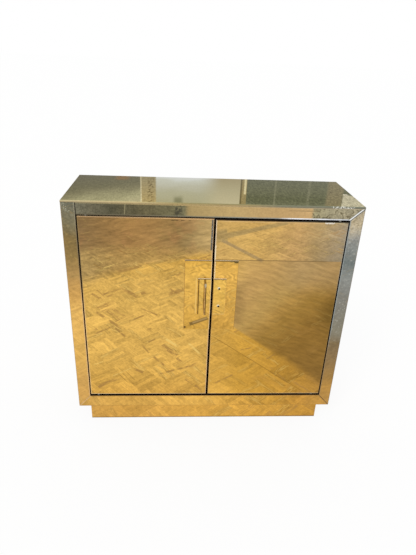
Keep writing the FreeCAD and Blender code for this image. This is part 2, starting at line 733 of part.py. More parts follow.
def door(side, sign):
    """One door: board core, mirror, two stepped plates, strike plate and hinge screws."""
    x = on_side(sign, DOOR_MEETING_EDGE, DOOR_HINGE_EDGE)
    z = (DOOR_BOTTOM, DOOR_TOP[side])
    screw_places = [(at_side(sign, PULL_X), level) for level in PULL_SCREW_LEVELS]
    bores = [
        rod(
            f"pull_bore_{side}_{i}",
            "Dims.pull_hole_radius",
            "Dims.door_core_thick",
            bore_x,
            GLASS_BACK,
            level,
            "+Y",
        )
        for i, (bore_x, level) in enumerate(screw_places, start=1)
    ]
    strike_x = on_side(
        sign,
        "Dims.catch_inset - Dims.strike_width / 2",
        "Dims.catch_inset + Dims.strike_width / 2",
    )
    strike_middle = f"({CATCH_BLOCK_BOTTOM} - Dims.catch_height / 2)"
    strike_z = [f"{strike_middle} {s} Dims.strike_height / 2" for s in "-+"]
    strike_y = (f"({DOOR_BACK} - Dims.strike_thick)", DOOR_BACK)
    strike = board(f"strike_{side}", strike_x, strike_y, strike_z)
    keep(strike, f"strike_plate_{side}")

    core = board(f"core_{side}", x, (GLASS_BACK, DOOR_BACK), z)
    rooms = [strike, *bores, *hinge_rooms[side]]
    keep(cut(f"core_{side}_cut", core, rooms), f"door_core_{side}")
    keep(screw_group(f"door_screws_{side}", hinge_screws[side]), f"hinge_screws_door_{side}")

    glass(
        f"door_mirror_{side}",
        "XZ_Plane",
        rectangle(x, z),
        f"-({GLASS_BACK})",
        "-Y",
        holes=screw_places,
    )
    for size, layer in (("outer", 0), ("inner", 1)):
        width, height = f"Dims.{size}_plate_width_{side}", f"Dims.{size}_plate_height"
        glass(
            f"door_plate_{size}_{side}",
            "XZ_Plane",
            rectangle(
                on_side(sign, DOOR_MEETING_EDGE, f"{DOOR_MEETING_EDGE} + {width}"),
                [f"Dims.plate_middle {s} {height} / 2" for s in "-+"],
            ),
            f"-({FRONT} - {layer} * Dims.plate_thick)",
            "-Y",
            thickness="Dims.plate_thick",
            polish="Dims.plate_polish",
            holes=screw_places,
        )


for side, sign in SIDES:
    door(side, sign)

# ---------------------------------------------------------------- pull on the left door


def blade_pull(side, sign):
    """A flat bar on edge, rounded at its two outer corners, tapped for two screws from behind."""
    body = doc.addObject("PartDesign::Body", f"pull_{side}")
    level = at_side(sign, f"({PULL_X} - Dims.pull_blade_thick / 2)")
    y = (f"({SMALL_PLATE_FRONT} - Dims.pull_projection)", SMALL_PLATE_FRONT)
    z = [f"Dims.pull_middle {s} Dims.pull_height / 2" for s in "-+"]
    sketch = outline_sketch(body, "YZ_Plane", rectangle(y, z), level)
    pad = body.newObject("PartDesign::Pad", f"pull_{side}_pad")
    pad.Profile = sketch
    pad.setExpression("Length", "Dims.pull_blade_thick")
    pad.Reversed = sign < 0
    doc.recompute()
    tip = number(y[0])
    ends = [
        f"Edge{i}"
        for i, e in enumerate(pad.Shape.Edges, start=1)
        if all(abs(v.Y - tip) < SAME_PLACE for v in e.Vertexes)
        and abs(e.Vertexes[0].Z - e.Vertexes[1].Z) < SAME_PLACE
    ]
    rounding = body.newObject("PartDesign::Fillet", f"pull_{side}_rounding")
    rounding.Base = (pad, ends)
    rounding.setExpression("Radius", "Dims.pull_corner")
    body.Tip = rounding

    screws = []
    threads = []
    for i, z_middle in enumerate(PULL_SCREW_LEVELS, start=1):
        x = at_side(sign, PULL_X)
        length = f"{DOOR_BACK} - {SMALL_PLATE_FRONT} + Dims.pull_screw_bite"
        radius = "Dims.pull_screw_radius"
        shank = rod(f"pull_screw_{i}", radius, length, x, DOOR_BACK, z_middle, "-Y")
        head = rod(
            f"pull_head_{i}",
            "Dims.pull_head_radius",
            "Dims.pull_head_height",
            x,
            DOOR_BACK,
            z_middle,
            "+Y",
        )
        bolt = fused(f"pull_bolt_{i}", [shank, head])
        head_face = f"({DOOR_BACK} + Dims.pull_head_height)"
        recesses[bolt.Name] = cross_recess(bolt.Name, x, head_face, z_middle, "-Y")
        screws.append(bolt)
        threads.append(shank)
    keep(cut(f"pull_{side}_tapped", body, threads), f"pull_blade_{side}")
    keep(screw_group("pull_screw_group", screws), f"pull_screws_{side}")


blade_pull("left", -1)

# ---------------------------------------------------------------- magnetic catches

catch_block = board(
    "catch_wood",
    ("-Dims.catch_block_width / 2", "Dims.catch_block_width / 2"),
    (FRAME_BACK, f"{FRAME_BACK} + Dims.catch_block_depth"),
    (CATCH_BLOCK_BOTTOM, CEILING),
)
CATCH_Z = (f"({CATCH_BLOCK_BOTTOM} - Dims.catch_height)", CATCH_BLOCK_BOTTOM)
catch_screws = []
for side, sign in SIDES:
    half = "Dims.catch_width / 2"
    x = on_side(sign, f"Dims.catch_inset - {half}", f"Dims.catch_inset + {half}")
    y = (f"({MAGNET_FRONT} + Dims.magnet_proud)", f"({MAGNET_FRONT} + Dims.catch_depth)")
    inner_x = (f"({x[0]}) + Dims.catch_wall", f"({x[1]}) - Dims.catch_wall")
    inner_z = (f"{CATCH_Z[0]} + Dims.catch_wall", f"{CATCH_Z[1]} - Dims.catch_wall")
    magnet_y = (MAGNET_FRONT, f"({MAGNET_FRONT} + Dims.magnet_depth)")
    magnet = board(f"magnet_{side}", inner_x, magnet_y, inner_z)
    keep(magnet, f"catch_magnet_{side}")
    screws = [
        wood_screw(
            f"catch_screw_{side}_{i}",
            at_side(sign, f"(Dims.catch_inset {s} Dims.catch_screw_spread / 2)"),
            f"({MAGNET_FRONT} + Dims.catch_screw_setback)",
            CATCH_Z[0],
            "+Z",
            length="Dims.catch_screw_length",
        )
        for i, s in enumerate("-+", start=1)
    ]
    housing = board(f"housing_{side}", x, y, CATCH_Z)
    keep(cut(f"housing_{side}_cut", housing, [magnet, *screws]), f"catch_housing_{side}")
    catch_screws += screws
keep(cut("catch_wood_cut", catch_block, catch_screws), "catch_block")
keep(screw_group("catch_screw_group", catch_screws), "catch_screws")

# ---------------------------------------------------------------- checks and export

doc.recompute()
for obj in doc.Objects:
    bad = {"Invalid", "Error"} & set(obj.State)
    if bad:
        raise RuntimeError(f"{obj.Name} ({obj.Label}) is {bad}")
labels = [obj.Label for obj in subparts]
if len(set(labels)) != len(labels):
    raise RuntimeError("two sub-parts share a label")

os.makedirs("parts", exist_ok=True)
for obj in subparts:
    shape = obj.Shape
    if shape.isNull() or not shape.isValid() or not shape.Solids:
        raise RuntimeError(f"{obj.Label} has no valid solid")
    shape.exportStep(os.path.join("parts", f"{obj.Label}.step"))
    print(f"{obj.Label}: {len(shape.Solids)} solid(s), {shape.Volume / 1000:.1f} cm3")
print(f"{len(subparts)} sub-parts")
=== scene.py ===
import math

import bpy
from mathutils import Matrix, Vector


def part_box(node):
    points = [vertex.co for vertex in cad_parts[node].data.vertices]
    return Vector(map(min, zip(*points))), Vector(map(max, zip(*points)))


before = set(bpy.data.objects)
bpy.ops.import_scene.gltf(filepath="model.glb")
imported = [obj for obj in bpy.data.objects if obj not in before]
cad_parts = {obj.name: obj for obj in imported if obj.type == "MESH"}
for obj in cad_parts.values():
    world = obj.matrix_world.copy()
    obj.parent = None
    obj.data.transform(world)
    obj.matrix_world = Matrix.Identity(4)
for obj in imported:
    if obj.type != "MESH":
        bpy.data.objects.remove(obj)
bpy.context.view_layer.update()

# Looks of the mirror-clad chiffonier: a finish for every CAD node, stage, light and camera.
#
# Metres, in the frame of the imported model: +X to the right seen from the front, +Y to the back, +Z up.
# Colours are written as 0 to 255 display values, which Paint.link() and srgb() turn to linear ones.
# The mirrors' colours hold painted reflections of the room and the block floor that they face, fixed to the
# glass, and painted highlights and shade along their edges.

# -------- places read from the frame

LEFT_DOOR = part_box("door_mirror_left")
RIGHT_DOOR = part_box("door_mirror_right")
LARGE_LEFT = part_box("door_plate_outer_left")
LARGE_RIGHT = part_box("door_plate_outer_right")
SMALL_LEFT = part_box("door_plate_inner_left")
SMALL_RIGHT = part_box("door_plate_inner_right")
TOP_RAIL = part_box("mirror_rail_top")
BOTTOM_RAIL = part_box("mirror_rail_bottom")
LEFT_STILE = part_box("mirror_stile_left")
RIGHT_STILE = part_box("mirror_stile_right")
FRONT = LEFT_STILE[0].y
TOP_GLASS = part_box("mirror_top")
OPENING_X = RIGHT_STILE[0].x
# The mitres of the strips run from a corner of the opening to an outer corner.
FOOT_LEFT = ((-OPENING_X, BOTTOM_RAIL[1].z), (LEFT_STILE[0].x, BOTTOM_RAIL[0].z))
FOOT_RIGHT = ((OPENING_X, BOTTOM_RAIL[1].z), (RIGHT_STILE[1].x, BOTTOM_RAIL[0].z))
HEAD_RIGHT = ((OPENING_X, TOP_RAIL[0].z), (RIGHT_STILE[1].x, TOP_RAIL[1].z))
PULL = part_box("pull_blade_left")
PULL_X = -(PULL[0].x + PULL[1].x) / 2
# The right door's two bare holes lie this far below the pull's upper end.
PULL_HOLES = [(PULL_X, PULL[1].z - drop) for drop in (0.028, 0.092)]

# The camera, measured from the middle of the cupboard, the strips' front face and the floor.
CAMERA_PLACE = Vector((-0.1166, FRONT - 1.353, 1.2555))
CAMERA_YAW = 0.07545
CAMERA_PITCH = 0.44931
CAMERA_ROLL = 0.04624
CAMERA_LENS = 30.632
SENSOR = 36.0

# A painted reflection of the block floor in the gold mirrors: square blocks of parallel fingers, every
# other block turned, drawn as if the floor ran away from the cupboard's foot behind the glass.
BLOCK = 0.108
FINGERS = 6
BLOCK_TURN = math.radians(39)
FLOOR_MIDDLE = -0.117
FLOOR_REACH = 1.35
FLOOR_HORIZON = 1.255

# The bands of the painted room reflection in the top mirror fan out from a point in front of the cupboard.
FAN_X = -0.117
FAN_Y = FRONT - 1.353

# Seen at a low angle, the top mirror shows this share of its own colour, adds this much gleam, and has
# this edge tint.
TOP_REFLECTION = 0.61
TOP_GLEAM = 0.053
TOP_TINT = 0.55

# How strong the world and the lamp are, how wide the lamp is and where it points, how much of the floor is
# plain white, and half its width.
WORLD_LIGHT = 0.78
SUN_LIGHT = 1.25
SUN_WIDTH = math.radians(25)
SUN_AIM = Vector((1.6, 2.4, -2.6))
FLOOR_GLOW = 0.9
FLOOR_HALF = 60.0


def srgb(*display):
    """A display colour as the linear one that sockets take."""
    shares = [number / 255 for number in display]
    return (*[v / 12.92 if v <= 0.04045 else ((v + 0.055) / 1.055) ** 2.4 for v in shares], 1.0)


GOLD_PALE = (240, 204, 118)
CREAM = (240, 212, 164)
STREAK = (157, 119, 66)
GREY_STREAK = (148, 128, 96)
OLIVE_BAND = (164, 140, 92)
WHITE_CHIP = (228, 226, 216)
CREAM_CHIP = (236, 222, 186)
# The painted highlight along the meeting edge.
MEETING_HIGHLIGHT = (250, 218, 166)
HOLE = (26, 18, 12)
DARK_LINE = (62, 48, 34)
SPOT = (70, 56, 40)
EDGE_BLACK = (30, 22, 18)
GLASS_EDGE = (74, 84, 70)

# Fingers of the painted floor reflection that stand out in the left door: start, end and width of each, on
# the front.
LEFT_DARK = [
    ((-0.375, 0.471), (-0.295, 0.409), 0.0104),
    ((-0.385, 0.386), (-0.32, 0.418), 0.0065),
    ((-0.27, 0.436), (-0.195, 0.471), 0.0065),
    ((-0.23, 0.486), (-0.175, 0.461), 0.0052),
    ((-0.315, 0.41), (-0.283, 0.376), 0.0078),
    ((-0.212, 0.403), (-0.195, 0.409), 0.0078),
    ((-0.208, 0.356), (-0.184, 0.366), 0.0065),
    ((-0.19, 0.296), (-0.148, 0.254), 0.0091),
    ((-0.143, 0.324), (-0.122, 0.307), 0.0104),
    ((-0.11, 0.29), (-0.093, 0.272), 0.0104),
    ((-0.258, 0.244), (-0.226, 0.228), 0.0104),
    ((-0.17, 0.222), (-0.06, 0.258), 0.0078),
    ((-0.078, 0.2), (-0.02, 0.152), 0.0104),
    ((-0.23, 0.346), (-0.205, 0.311), 0.0065),
    ((-0.278, 0.553), (-0.24, 0.529), 0.013),
    ((-0.228, 0.54), (-0.207, 0.547), 0.0117),
    ((-0.14, 0.539), (-0.09, 0.558), 0.0156),
    ((-0.35, 0.532), (-0.322, 0.551), 0.0052),
    ((-0.368, 0.552), (-0.346, 0.531), 0.0052),
    ((-0.302, 0.694), (-0.272, 0.681), 0.0052),
    ((-0.216, 0.692), (-0.201, 0.687), 0.0078),
    ((-0.3, 0.617), (-0.222, 0.638), 0.0104),
]
LEFT_THIN = [
    ((-0.31, 0.222), (-0.28, 0.184), 0.003),
    ((-0.298, 0.226), (-0.26, 0.177), 0.003),
    ((-0.286, 0.233), (-0.256, 0.195), 0.003),
    ((-0.356, 0.668), (-0.32, 0.661), 0.003),
    ((-0.372, 0.643), (-0.348, 0.625), 0.003),
    ((-0.217, 0.59), (-0.194, 0.578), 0.003),
]
LEFT_LIGHT = [
    ((-0.162, 0.378), (-0.103, 0.336), 0.01),
    ((-0.333, 0.213), (-0.268, 0.247), 0.003),
    ((-0.343, 0.629), (-0.298, 0.645), 0.003),
    ((-0.07, 0.351), (-0.03, 0.306), 0.008),
    ((-0.395, 0.261), (-0.36, 0.276), 0.003),
]
# The same in the right door.
RIGHT_DARK = [
    ((0.11, 0.324), (0.152, 0.335), 0.005),
    ((0.204, 0.286), (0.233, 0.309), 0.005),
    ((0.25, 0.224), (0.283, 0.194), 0.004),
    ((0.025, 0.18), (0.09, 0.219), 0.007),
]
# The painted reflection of one floor joint in the right door, and of pale fingers at its foot.
REFLECTED_JOINT = ((0.013, 0.378), (0.352, 0.143), 0.0028)
FOOT_LIGHT = [((0.05, 0.406), (0.1, 0.382), 0.003), ((0.1, 0.382), (0.2, 0.315), 0.003)]


# -------- node trees


class Wire:
    """A number or a colour that a node gives; arithmetic and the calls below add nodes after it."""

    def __init__(self, paint, socket):
        self.paint = paint
        self.socket = socket

    def __add__(self, other):
        return self.paint.math("ADD", self, other)

    def __sub__(self, other):
        return self.paint.math("SUBTRACT", self, other)

    def __rsub__(self, other):
        return self.paint.math("SUBTRACT", other, self)

    def __mul__(self, other):
        return self.paint.math("MULTIPLY", self, other)

    __radd__ = __add__
    __rmul__ = __mul__

    def __truediv__(self, other):
        return self.paint.math("DIVIDE", self, other)

    def __abs__(self):
        return self.paint.math("ABSOLUTE", self)

    def floor(self):
        return self.paint.math("FLOOR", self)

    def pingpong(self, top):
        """Up to top and down again, without end."""
        return self.paint.math("PINGPONG", self, top)

    def rise(self, start, end):
        """0 before start and 1 past end, with a soft step between; end may be the lower one."""
        to = (0.0, 1.0) if start < end else (1.0, 0.0)
        values = (self, min(start, end), max(start, end), *to)
        return self.paint.node("MapRange", values, interpolation_type="SMOOTHSTEP")

    def band(self, start, end, soft):
        """1 between start and end, with soft sides."""
        return self.rise(start - soft, start + soft) * self.rise(end + soft, end - soft)

    def ramp(self, *stops):
        """Colours along a number: each stop is a place and its colour, and places rise."""
        low, high = stops[0][0], stops[-1][0]
        node = self.paint.new("ValToRGB", ((self - low) / (high - low),))
        points = node.color_ramp.elements
        while len(points) < len(stops):
            points.new(0.5)
        for point, (place, *colour) in zip(points, stops):
            point.position = (place - low) / (high - low)
            point.color = srgb(*colour)
        return Wire(self.paint, node.outputs["Color"])

    def over(self, colour, share):
        """This colour, turned into another one by share."""
        return self.paint.blend(self, colour, share)

    def shade(self, change):
        """This colour, lighter or darker by a change about 0."""
        return self.paint.node("VectorMath", {0: self, "Scale": change + 1.0}, operation="SCALE")


class Paint:
    """One material's node tree, with a short call for each kind of node used below."""

    def __init__(self, name):
        self.material = bpy.data.materials.new(name)
        self.material.use_nodes = True
        self.tree = self.material.node_tree
        self.shader = self.tree.nodes["Principled BSDF"]
        coordinates = self.new("TexCoord").outputs
        self.place = coordinates["Object"]
        self.x, self.y, self.z = self.parts(self.place)
        self.normal = self.parts(coordinates["Normal"])
        self.front = self.vector(self.x, 0.0, self.z)
        # bare also covers the bevels, made dull so that their painted highlights and shade show; sides
        # holds the colours of those painted lines.
        self.bare = 0.0  # where the silvering is gone
        self.sides = {}  # colours of a mirror's worked sides

    def link(self, value, socket):
        """Feeds a socket from a wire or another socket, or sets it; a colour may be a display one."""
        if isinstance(value, Wire):
            value = value.socket
        if isinstance(value, bpy.types.NodeSocket):
            self.tree.links.new(value, socket)
        elif socket.type == "RGBA" and len(value) == 3:
            socket.default_value = srgb(*value)
        else:
            socket.default_value = value

    def new(self, kind, inputs=(), **settings):
        """A new node; inputs holds its values in order, or by place or name."""
        node = self.tree.nodes.new("ShaderNode" + kind)
        for name, value in settings.items():
            setattr(node, name, value)
        for key, value in (inputs if isinstance(inputs, dict) else dict(enumerate(inputs))).items():
            self.link(value, node.inputs[key])
        return node

    def node(self, kind, inputs, output=0, **settings):
        """What a new node gives."""
        return Wire(self, self.new(kind, inputs, **settings).outputs[output])

    def math(self, operation, a, b=0.0):
        return self.node("Math", (a, b), operation=operation)

    def most(self, first, *others):
        for other in others:
            first = self.math("MAXIMUM", first, other)
        return first

    def choose(self, a, b, share):
        """Number a turned into b by share."""
        return a * (1.0 - share) + b * share

    def blend(self, a, b, share):
        """Colour a turned into b by share."""
        return self.node("Mix", {0: share, 6: a, 7: b}, 2, data_type="RGBA")

    def parts(self, vector):
        """The three parts of a vector."""
        return [Wire(self, part) for part in self.new("SeparateXYZ", (vector,)).outputs]

    def vector(self, x, y, z):
        return self.node("CombineXYZ", (x, y, z))

    def noise(self, scale, detail=3.0, roughness=0.55, place=None):
        """Soft noise from 0 to 1 about 0.5."""
        inputs = {"Vector": place or self.place, "Scale": scale, "Detail": detail, "Roughness": roughness}
        return self.node("TexNoise", inputs)

    def sway(self, scale, reach, detail=3.0):
        """Soft noise about 0, up to about half of reach either way."""
        return (self.noise(scale, detail) - 0.5) * reach

    def random(self, x, y, z):
        """One value from 0 to 1 for each whole-number place."""
        return self.node("TexWhiteNoise", (self.vector(x, y, z),))

    def stroke(self, start, end, width):
        """A mask along a straight line on the front, whose ends taper a little."""
        run = Vector(end) - Vector(start)
        middle = (Vector(start) + Vector(end)) / 2
        inputs = {
            "Vector": self.front,
            "Location": (middle.x, 0, middle.y),
            "Rotation": (0, -math.atan2(run.y, run.x), 0),
            "Scale": (run.length / 2, 1, width / 2),
        }
        along, _, across = self.parts(self.node("Mapping", inputs, vector_type="TEXTURE"))
        along = self.math("POWER", abs(along), 5.0)
        return self.most(along, abs(across)).rise(1.25, 0.55)

    def strokes(self, lines):
        return self.most(*[self.stroke(*line) for line in lines])

    def distance(self, x, z, flat=None):
        """How far a place on the front, or on another flat face, is from a point on it."""
        return self.node("VectorMath", (flat or self.front, (x, 0, z)), 1, operation="DISTANCE")

    def chip(self, colour, mask, bare):
        """Shows the bare colour where the mask says that the silvering is gone."""
        self.bare = self.most(self.bare, mask)
        return colour.over(bare, mask)

    def bump(self, height, distance, strength=1.0):
        inputs = {"Strength": strength, "Distance": distance, "Height": height}
        self.link(self.node("Bump", inputs), self.shader.inputs["Normal"])

    def finish(self, nodes=(), **inputs):
        """Sets the shader's sockets by name, with _ for a space, and puts the material on CAD nodes."""
        for name, value in inputs.items():
            self.link(value, self.shader.inputs[name.replace("_", " ")])
        for node in nodes:
            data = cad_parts[node].data
            data.materials.clear()
            data.materials.append(self.material)


# -------- patterns in the mirrors


def floor_reflection(paint, colour, strength, shift=0.0, across=None):
    """A colour with the painted reflection of the block floor in it, shown as far as strength says."""
    reach = paint.z * FLOOR_REACH / (FLOOR_HORIZON - paint.z)
    spread = reach / FLOOR_REACH + 1.0
    side = ((across or paint.x) - FLOOR_MIDDLE) * spread + shift
    floor = paint.vector(side, reach, shift)
    side = side + (paint.noise(7.0, 2.0, place=floor) - 0.5) * 0.05
    cos, sin = math.cos(BLOCK_TURN) / BLOCK, math.sin(BLOCK_TURN) / BLOCK
    p = side * cos + reach * sin
    q = reach * cos - side * sin
    column, row = p.floor(), q.floor()
    turned = (column + row).pingpong(1.0)
    along, over = paint.choose(p, q, turned), paint.choose(q, p, turned)
    finger = (over * FINGERS).floor()
    pick = paint.random(column + 0.5, row + 0.5, finger + 0.5)
    block = paint.random(column + 0.5, row + 0.5, 0.25)
    grain_place = paint.vector(along * 1.6, over * 17.0, pick * 9.0)
    grain = paint.noise(1.6, 3.0, place=grain_place)
    clouds = paint.noise(3.6, 2.0, place=floor)
    speckle = paint.noise(150.0, 2.0, 0.6)
    patchy = paint.noise(5.0, 2.0, place=floor).rise(0.36, 0.62)

    change = (
        (pick - 0.5) * paint.choose(0.18, 0.38, patchy)
        + (block - 0.5) * 0.18
        + (grain - 0.5) * 0.66
        + (speckle - 0.5) * 0.62
        + (clouds - 0.5) * 0.45
    )
    # Painted reflection of dark joints between some of the floor's fingers.
    reflected_joint = (over * FINGERS).pingpong(0.5).rise(0.16, 0.02) * patchy * grain.rise(0.42, 0.55)
    dark = pick.rise(0.84, 0.92) * clouds.rise(0.48, 0.57) * grain.rise(0.4, 0.52)
    light = pick.rise(0.16, 0.08) * grain.rise(0.46, 0.6)
    dark = paint.most(dark, reflected_joint * 0.42)
    colour = colour.shade(change * strength).over(STREAK, dark * strength * 0.7)
    return colour.over(GOLD_PALE, light * strength * 0.38)


def streaks(paint, angle, length, width, seed=0.0):
    """Soft bent streaks of painted reflection on the front, about 0, at an angle in degrees from level."""
    cos, sin = math.cos(math.radians(angle)), math.sin(math.radians(angle))
    bend = paint.noise(8.0, 1.0) * 3.5
    along = paint.x * (cos / length) + paint.z * (sin / length)
    across = paint.z * (cos / width) - paint.x * (sin / width) + bend
    return paint.noise(1.0, 3.0, place=paint.vector(along, seed, across)) - 0.5


def ripples(paint, colour, strength):
    """Curled light and dark lines of a painted reflection in uneven glass, that come and go."""
    swell = paint.noise(13.0, 2.0, place=paint.vector(paint.x * 0.7, 0.0, paint.z))
    curl = (swell * 26.0).pingpong(1.0) - 0.5
    patchy = paint.noise(34.0, 1.0).rise(0.35, 0.65)
    return colour.shade(curl * patchy * strength)


def broken(paint, lines):
    """A mask of strokes that come and go along their length."""
    return paint.strokes(lines) * paint.noise(75.0, 2.0).rise(0.3, 0.56)


def painted_edge_lines(paint, colour, box, sides, width=0.0034, head_width=None):
    """Painted highlight and shade lines along the worked edge of a mirror: a thin line along its sides,
    each with a colour and a strength.
    """
    low, high = box
    gaps = {
        "left": paint.x - low.x,
        "right": high.x - paint.x,
        "foot": paint.z - low.z,
        "head": high.z - paint.z,
    }
    ragged = paint.choose(0.75, 1.0, paint.noise(70.0, 3.0).rise(0.38, 0.56))
    for side, (line, strength) in sides.items():
        reach = head_width if side == "head" and head_width else width
        mask = gaps[side].rise(reach, reach * 0.6)
        colour = colour.over(line, mask * ragged * strength)
    paint.sides.update(sides)
    return colour


def bevels(paint, colour):
    """Colours the polished bevels of a front mirror with the painted highlight and shade of the lines
    beside them.
    """
    slopes = {"left": (0, -1.0), "right": (0, 1.0), "foot": (2, -1.0), "head": (2, 1.0)}
    for side, (line, strength) in paint.sides.items():
        axis, sign = slopes[side]
        facing = (paint.normal[axis] * sign).rise(0.4, 0.55)
        colour = colour.over(line, facing * min(1.0, strength * 1.1))
    slant = abs(paint.normal[1]).rise(0.92, 0.82)
    paint.bare = paint.most(paint.bare, slant * (0.85 if paint.sides else 0.0))
    return colour


def chips(paint, colour, line, bare=WHITE_CHIP, share=0.5):
    """Small chips along a line on the front; share is how much of it is lost."""
    level = 0.5 + (0.5 - share) * 0.3
    mask = paint.stroke(*line) * paint.noise(330.0, 2.0).rise(level, level + 0.04)
    return paint.chip(colour, mask, bare)


def mitre(paint, colour, corners, line, strength, width):
    """A thin line along a mitre, dark for the joint and pale for a painted highlight."""
    inner, outer = (Vector(corner) for corner in corners)
    across = (outer - inner).orthogonal().normalized()
    gap = paint.x * across.x + paint.z * across.y - across.dot(inner)
    mask = abs(gap).rise(width, width * 0.6)
    return colour.over(line, mask * strength)


# -------- tones of the mirrors


def left_door_tone(paint):
    """A painted reflection of the room: gold below a slanting edge, brown with reddish clouds above it."""
    drift = paint.sway(11.0, 0.045)
    over = paint.z - paint.x * 0.27 + drift
    low = paint.z.ramp(
        (0.13, 211, 162, 76), (0.21, 218, 171, 83), (0.31, 224, 178, 90), (0.5, 222, 178, 92),
        (0.58, 216, 173, 90), (0.67, 214, 168, 80),
    )
    middle = paint.x.ramp(
        (-0.41, 176, 146, 90), (-0.3, 172, 138, 80), (-0.1, 190, 152, 84), (-0.03, 204, 166, 100)
    )
    high = (paint.x + drift).ramp(
        (-0.41, 134, 107, 70), (-0.34, 146, 114, 70), (-0.26, 166, 127, 75), (-0.19, 165, 127, 76),
        (-0.12, 148, 118, 72), (-0.07, 166, 139, 90), (-0.02, 188, 158, 104),
    )
    low = low.shade(paint.x.rise(-0.24, -0.08) * -0.06)
    risen = paint.choose(over.rise(0.668, 0.724), over.rise(0.686, 0.708), paint.x.rise(-0.36, -0.2))
    upper = (paint.z + drift).rise(0.661, 0.721)
    colour = low.over(middle, risen).over(high, upper)
    reddish = upper * paint.noise(13.0, 3.0).rise(0.5, 0.62)
    colour = colour.over((168, 122, 78), reddish * 0.35)
    colour = colour.shade(streaks(paint, 9, 0.055, 0.01) * paint.choose(0.28, 1.2, risen))
    strength = paint.choose(1.15, paint.choose(1.15, 0.5, upper), risen)
    colour = floor_reflection(paint, colour, strength)
    colour = colour.over(STREAK, broken(paint, LEFT_DARK) * 0.74)
    colour = colour.over((150, 114, 54), broken(paint, LEFT_THIN) * 0.7)
    colour = colour.over(GOLD_PALE, broken(paint, LEFT_LIGHT) * 0.7)

    sides = {
        "foot": (CREAM, 1.0),
        "right": ((226, 188, 138), 1.0),
        "left": (paint.blend((236, 196, 134), (150, 126, 84), paint.z.rise(0.46, 0.6)), 0.85),
        "head": (paint.blend((180, 146, 104), (214, 172, 118), paint.x.rise(-0.3, -0.1)), 0.85),
    }
    colour = painted_edge_lines(paint, colour, LEFT_DOOR, sides)
    head = LEFT_DOOR[1].z
    dark = broken(paint, [((-0.134, head - 0.0065), (-0.074, head - 0.007), 0.003)])
    colour = colour.over(DARK_LINE, dark * 0.75)
    # Silvering lost along the upper part of the meeting edge.
    lost = ((LEFT_DOOR[1].x - 0.003, head), (LEFT_DOOR[1].x - 0.0035, 0.694), 0.008)
    colour = paint.chip(colour, paint.stroke(*lost) * 0.92, (66, 68, 66))
    return chips(paint, colour, lost, (170, 172, 166), 0.22)


